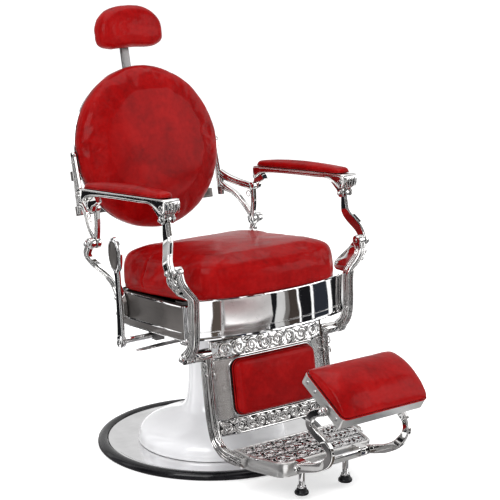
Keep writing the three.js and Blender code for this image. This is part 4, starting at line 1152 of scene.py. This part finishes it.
# the footplate field under the relief is near-black: painted shade
build("footplate_field", merge(cap_top, under), "recess", "leg_rest", sharp=40)
relief = []
half = lambda y: float(np.interp(y, [-566, -551, -536, -470, -450, -386], [140, 164, 170, 190, 194, 194])) - 6
fl = lambda x, y: (x, y, 124.6)
NZ = (0, 0, 1)
ROWS = [-389, -444, -500, -557]
for ya, yb in zip(ROWS[1:], ROWS[:-1]):
    mid = (ya + yb) / 2
    w = half(mid) + 7
    relief += scrollwork(0, w, ya + 1, yb - 1, fl, NZ, bead=3.7)
    relief.append(tube([fl(10 * math.cos(a), mid + 10 * math.sin(a)) for a in [2 * math.pi * k / 32 for k in range(33)]], 2.6, 8, 0.7, NZ))
    relief.append(lathe_z([(6.0, 124.2), (5.6, 125.8), (3.6, 127.0), (0.8, 127.4)], 0, mid, 24))
    n_ = int(w / 26)
    for i in range(-n_, n_ + 1):
        cx = i * 26.0
        for sg in (1, -1):
            e = mid + sg * 26
            P, _ = catmull([(cx - 8, e), (cx - 2, e - sg * 6), (cx + 6, e - sg * 8), (cx + 10, e - sg * 3)], 10)
            relief.append(tube([fl(*q) for q in P], [0.8 + 2.4 * math.sin(math.pi * j / 10) for j in range(11)], 6, 0.8, NZ))
for yy in ROWS[1:-1]:
    relief.append(tube([fl(x, yy) for x in np.linspace(-half(yy), half(yy), 60)], 1.3, 8, 0.8, NZ))
relief += [tube([(x, y, 125.0) for x, y in shrink(fpr, 11) + shrink(fpr, 11)[:1]], 1.8, 8, 0.8, NZ)]
build("footplate_relief", merge(*relief), "relief", "leg_rest", sharp=180)

for side, sign in (("left", 1), ("right", -1)):
    x = sign * 81
    rod = [(3, 34.4), (5.6, 34.0)]
    rod = [(8.0, 33.4), (9.0, 34.4)]
    for k in range(10):
        z = 36 + 1.9 * k
        rod += [(9.0, z), (8.2, z + 0.95)]
    rod += [(9.0, 56), (9.0, 117.6), (8.2, 118.6)]
    build("foot_rod_turned_" + side, merge(lathe_z(rod, x, -548, 40), lathe_z([(9, 33.6), (12.4, 34.0), (12.8, 35.0), (12.8, 38.6), (12.2, 39.6), (9, 40)], x, -548, 40)), "chrome", "leg_rest", "foot_rod_" + side, sharp=40)
    build("foot_ball_" + side, lathe_z([(14, 13.5), (18.2, 13.9), (20.2, 15.4), (20.8, 18.0), (20.6, 21.4), (19.4, 24.0), (17.0, 26.0), (15.2, 27.0), (14.8, 28.2), (14.8, 31.4), (14.0, 32.8), (12.0, 33.3), (9.6, 33.4)], x, -548, 64), "rubber", "leg_rest", "rubber_foot_" + side, sharp=50)

# ------------------------------------------------------------------ flip rest
for side, sign in (("left", 1), ("right", -1)):
    path = [ARM_PIN, (-634, 129), (-674, 143), (-718, 170), (-740, 206), (-728, 234), (-696, 254), (-678, 276), (-690, 306), PAD_PIN]
    arm = [
        bar(path, [13, 13.5, 13, 13, 13, 13, 12.5, 12.5, 12, 12], 119.9, 134.1, lambda y, z: 35 * smooth(150, 300, z), 120, r=3.4, k=12),
        boss(119.8, 133.4, ARM_PIN[0], ARM_PIN[1], 14.6, 2.2), boss(154.8, 168.4, PAD_PIN[0], PAD_PIN[1], 13.4, 2.2),
        nut(133.2, ARM_PIN[0], ARM_PIN[1], 9),
    ]
    build("rest_arm_cast_" + side, merge(*arm), "cast", "rest_arms", "rest_arm_" + side, sign=sign, sharp=40)
tr = resample(round_rect(-152, 152, -62, 122, 8, 6), 160)
tray_rows = [[(x, y, z) for x, y in shrink(tr, d)] for d, z in [(4, 22), (4, -8), (3.4, -9.8), (1.6, -10.5), (0.2, -9.8), (-0.4, -8.0), (-0.2, -6.6), (0, -5.6), (0, 20), (-0.4, 22), (-0.4, 24.6), (0.4, 26), (2.4, 26.2), (4, 26)]]
floor_ = loft([[(x, y, z) for x, y in shrink(tr, 3.8)] for z in (22, 25.6)], caps=True)
riv = []
for sx in (-1, 1):
    for yy in (-40, 64, 100):
        riv.append(lathe_x([(sx * 151.6, 5.2), (sx * 153.4, 5.0), (sx * 154.8, 3.4), (sx * 155.2, 0.8)], yy, 8, 24))
build("foot_tray_pan", merge(loft(tray_rows, caps=False), floor_), "grey", "foot_pad", "foot_pad_tray", M=REST, sharp=40)
build("foot_tray_pins", merge(lathe_x([(-172, 4.4), (-171.4, 5), (-148, 5)], 0, 0, 28), lathe_x([(148, 5), (171.4, 5), (172, 4.4)], 0, 0, 28), *riv, nut(168.2, 0, 0, 8.5), nut(-168.2, 0, 0, 8.5, -1)), "chrome", "foot_pad", M=REST, sharp=40)

# ------------------------------------------------------------------ carried-over CAD nodes
# the seat board takes the near-black board material, painted shade for the gap under the cushion
for n, mm in {"base_plate": "steel", "pump_cylinder": "steel", "lift_ram": "chrome", "swivel_plate": "steel", "seat_frame": "steel", "seat_crossbar_front": "steel", "seat_crossbar_rear": "steel",
              "seat_board": "wood", "pump_bracket": "steel", "rest_arm_shaft": "chrome"}.items():
    if n in NODES:
        o = NODES[n]
        o.data.materials.clear()
        o.data.materials.append(MAT[mm])

# ------------------------------------------------------------------ floor, light and camera


BANDS = [(-180, "dark"), (-170, "white"), (-163, (0.30, 0.30, 0.31)), (-156, "dark"), (-134, "white"), (-130, "dark"), (-108, "white"), (-98, (0.11, 0.09, 0.075)), (-85, "white"), (-83, (0.10, 0.10, 0.10)),
         (-77, (0.02, 0.026, 0.05)), (-71, "white"), (-68.5, "dark"), (-64, (0.75, 0.75, 0.74)), (-59, (0.20, 0.19, 0.18)), (-56, (0.065, 0.052, 0.045)), (-49, "white"), (-47, "dark"), (-39, "white"), (-37, (0.03, 0.034, 0.045)),
         (-27, "white"), (-24, "dark"), (-12, "white"), (95, "dark"), (108, "white"), (117, "dark"), (135, "white"), (149, (0.22, 0.215, 0.21)), (160, "dark")]


def azimuth_strips(t, vec, dark, bright, scale=1.6):
    """Dark and bright bands that run up and down the studio's walls, so that polished metal has something to show."""
    sep = t.nodes.new("ShaderNodeSeparateXYZ")
    t.links.new(vec, sep.inputs["Vector"])
    az = t.nodes.new("ShaderNodeMath")
    az.operation = "ARCTAN2"
    t.links.new(sep.outputs["Y"], az.inputs[0])
    t.links.new(sep.outputs["X"], az.inputs[1])
    n = t.nodes.new("ShaderNodeTexNoise")
    n.inputs["Scale"].default_value = scale
    n.inputs["Detail"].default_value = 2.0
    t.links.new(vec, n.inputs["Vector"])
    warp = t.nodes.new("ShaderNodeMath")
    warp.operation = "MULTIPLY_ADD"
    warp.inputs[1].default_value = 0.05
    warp.inputs[2].default_value = 0.475
    t.links.new(n.outputs["Fac"], warp.inputs[0])
    turn = t.nodes.new("ShaderNodeMath")
    turn.operation = "MULTIPLY_ADD"
    turn.inputs[1].default_value = 0.5 / math.pi
    t.links.new(az.outputs[0], turn.inputs[0])
    t.links.new(warp.outputs[0], turn.inputs[2])
    r = t.nodes.new("ShaderNodeValToRGB")
    r.color_ramp.interpolation = "CONSTANT"
    e = r.color_ramp.elements
    pick = {"dark": (dark, dark, dark * 1.15), "white": (bright,) * 3}
    stops = [((d + 180) / 360, pick.get(c, c) if isinstance(c, str) else tuple(q * bright / 1.5 for q in c)) for d, c in BANDS]
    e[0].position, e[1].position = stops[0][0], stops[-1][0]
    e[0].color, e[1].color = (*stops[0][1], 1), (*stops[-1][1], 1)
    for pos, c in stops[1:-1]:
        q = e.new(pos)
        q.color = (*c, 1)
    t.links.new(turn.outputs[0], r.inputs["Fac"])
    return sep, r.outputs["Color"]


fm, ft, fp, fco = shader("studio_floor", (0.9, 0.9, 0.9), 0.8, Specular_IOR_Level=0.1)
fp.inputs["Emission Color"].default_value = (1, 1, 1, 1)
fp.inputs["Emission Strength"].default_value = 0.5
ft.links.new(ramp(ft, tex_noise(ft, fco, 0.8, 2.0), [(0.3, (0.89, 0.89, 0.89)), (0.7, (0.91, 0.91, 0.91))]), fp.inputs["Base Color"])
# seen by glossy rays the floor glows instead: painted reflections of bright and dark bands, and painted shade, grey
# 0.26 within 0.42 to 0.75 m of the chair
fsep, fstrips = azimuth_strips(ft, fco.outputs["Object"], 0.012, 1.4, 1.1)
dist = ft.nodes.new("ShaderNodeVectorMath")
dist.operation = "LENGTH"
ft.links.new(fco.outputs["Object"], dist.inputs[0])
near = ft.nodes.new("ShaderNodeMapRange")
near.inputs["From Min"].default_value = 0.42
near.inputs["From Max"].default_value = 0.75
ft.links.new(dist.outputs["Value"], near.inputs["Value"])
fmix = ft.nodes.new("ShaderNodeMix")
fmix.data_type = "RGBA"
ft.links.new(near.outputs["Result"], fmix.inputs["Factor"])
fmix.inputs["A"].default_value = (0.26, 0.25, 0.255, 1)
ft.links.new(fstrips, fmix.inputs["B"])
fem = ft.nodes.new("ShaderNodeEmission")
ft.links.new(fmix.outputs["Result"], fem.inputs["Color"])
flp = ft.nodes.new("ShaderNodeLightPath")
fsh = ft.nodes.new("ShaderNodeMixShader")
ft.links.new(flp.outputs["Is Glossy Ray"], fsh.inputs["Fac"])
ft.links.new(fp.outputs["BSDF"], fsh.inputs[1])
ft.links.new(fem.outputs["Emission"], fsh.inputs[2])
ft.links.new(fsh.outputs["Shader"], ft.nodes["Material Output"].inputs["Surface"])
me = bpy.data.meshes.new("floor")
me.from_pydata([(-70, -70, -0.0004), (70, -70, -0.0004), (70, 70, -0.0004), (-70, 70, -0.0004)], [], [(0, 1, 2, 3)])
floor = bpy.data.objects.new("floor", me)
bpy.context.scene.collection.objects.link(floor)
me.materials.append(fm)

world = bpy.data.worlds.new("studio")
bpy.context.scene.world = world
world.use_nodes = True
wt = world.node_tree
bg = wt.nodes["Background"]
wc = wt.nodes.new("ShaderNodeTexCoord")
sep, strips = azimuth_strips(wt, wc.outputs["Generated"], 0.016, 2.1, 2.0)
mx = wt.nodes.new("ShaderNodeMix")
mx.data_type = "RGBA"
height = ramp(wt, sep.outputs["Z"], [(0.0, (1, 1, 1)), (0.74, (1, 1, 1)), (0.90, (0, 0, 0))])
# the wall behind the chair is plain white, the side it faces has the bands
behind = wt.nodes.new("ShaderNodeVectorMath")
behind.operation = "DOT_PRODUCT"
wt.links.new(wc.outputs["Generated"], behind.inputs[0])
behind.inputs[1].default_value = (0.60, 0.80, 0.0)
away = wt.nodes.new("ShaderNodeMapRange")
away.inputs["From Min"].default_value = 0.35
away.inputs["From Max"].default_value = 0.75
away.inputs["To Min"].default_value = 1.0
away.inputs["To Max"].default_value = 0.12
wt.links.new(behind.outputs["Value"], away.inputs["Value"])
fac = wt.nodes.new("ShaderNodeMath")
fac.operation = "MULTIPLY"
wt.links.new(height, fac.inputs[0])
wt.links.new(away.outputs["Result"], fac.inputs[1])
wt.links.new(fac.outputs[0], mx.inputs["Factor"])
mx.inputs["A"].default_value = (1.0, 1.0, 1.0, 1)
wt.links.new(strips, mx.inputs["B"])
lp = wt.nodes.new("ShaderNodeLightPath")
m2 = wt.nodes.new("ShaderNodeMix")
m2.data_type = "RGBA"
wt.links.new(lp.outputs["Is Camera Ray"], m2.inputs["Factor"])
wt.links.new(mx.outputs["Result"], m2.inputs["A"])
m2.inputs["B"].default_value = (1.7, 1.7, 1.7, 1)
# soft even light for everything that isn't polished
m3 = wt.nodes.new("ShaderNodeMix")
m3.data_type = "RGBA"
wt.links.new(lp.outputs["Is Diffuse Ray"], m3.inputs["Factor"])
wt.links.new(m2.outputs["Result"], m3.inputs["A"])
m3.inputs["B"].default_value = (1.0, 1.0, 1.01, 1)
wt.links.new(m3.outputs["Result"], bg.inputs["Color"])
bg.inputs["Strength"].default_value = 0.66


def area(name, loc, target, size, power, size_y=None):
    l = bpy.data.lights.new(name, "AREA")
    l.energy, l.size = power, size
    if size_y:
        l.shape, l.size_y = "RECTANGLE", size_y
    o = bpy.data.objects.new(name, l)
    bpy.context.scene.collection.objects.link(o)
    o.location = loc
    o.rotation_euler = (Vector(target) - Vector(loc)).to_track_quat("-Z", "Y").to_euler()
    return o


area("key", (-2.6, -1.6, 3.0), (0, 0, 0.6), 2.2, 66)
area("fill", (2.8, -2.6, 1.9), (0, 0, 0.6), 2.4, 40)
area("overhead", (0.2, 0.3, 3.4), (0, 0, 0.3), 2.6, 42)
area("front", (-1.6, -4.2, 1.2), (0, 0, 0.5), 1.4, 24).visible_glossy = False

cam = bpy.data.cameras.new("camera")
cam.lens, cam.sensor_width = 112.26, 36
co = bpy.data.objects.new("camera", cam)
bpy.context.scene.collection.objects.link(co)
co.location = (-2.69867, -3.77798, 1.69811)
co.rotation_euler = Vector((0.58597, 0.77760, -0.22798)).to_track_quat("-Z", "Y").to_euler()
bpy.context.scene.camera = co
bpy.context.scene.view_settings.view_transform = "Standard"
bpy.context.scene.view_settings.look = "None"
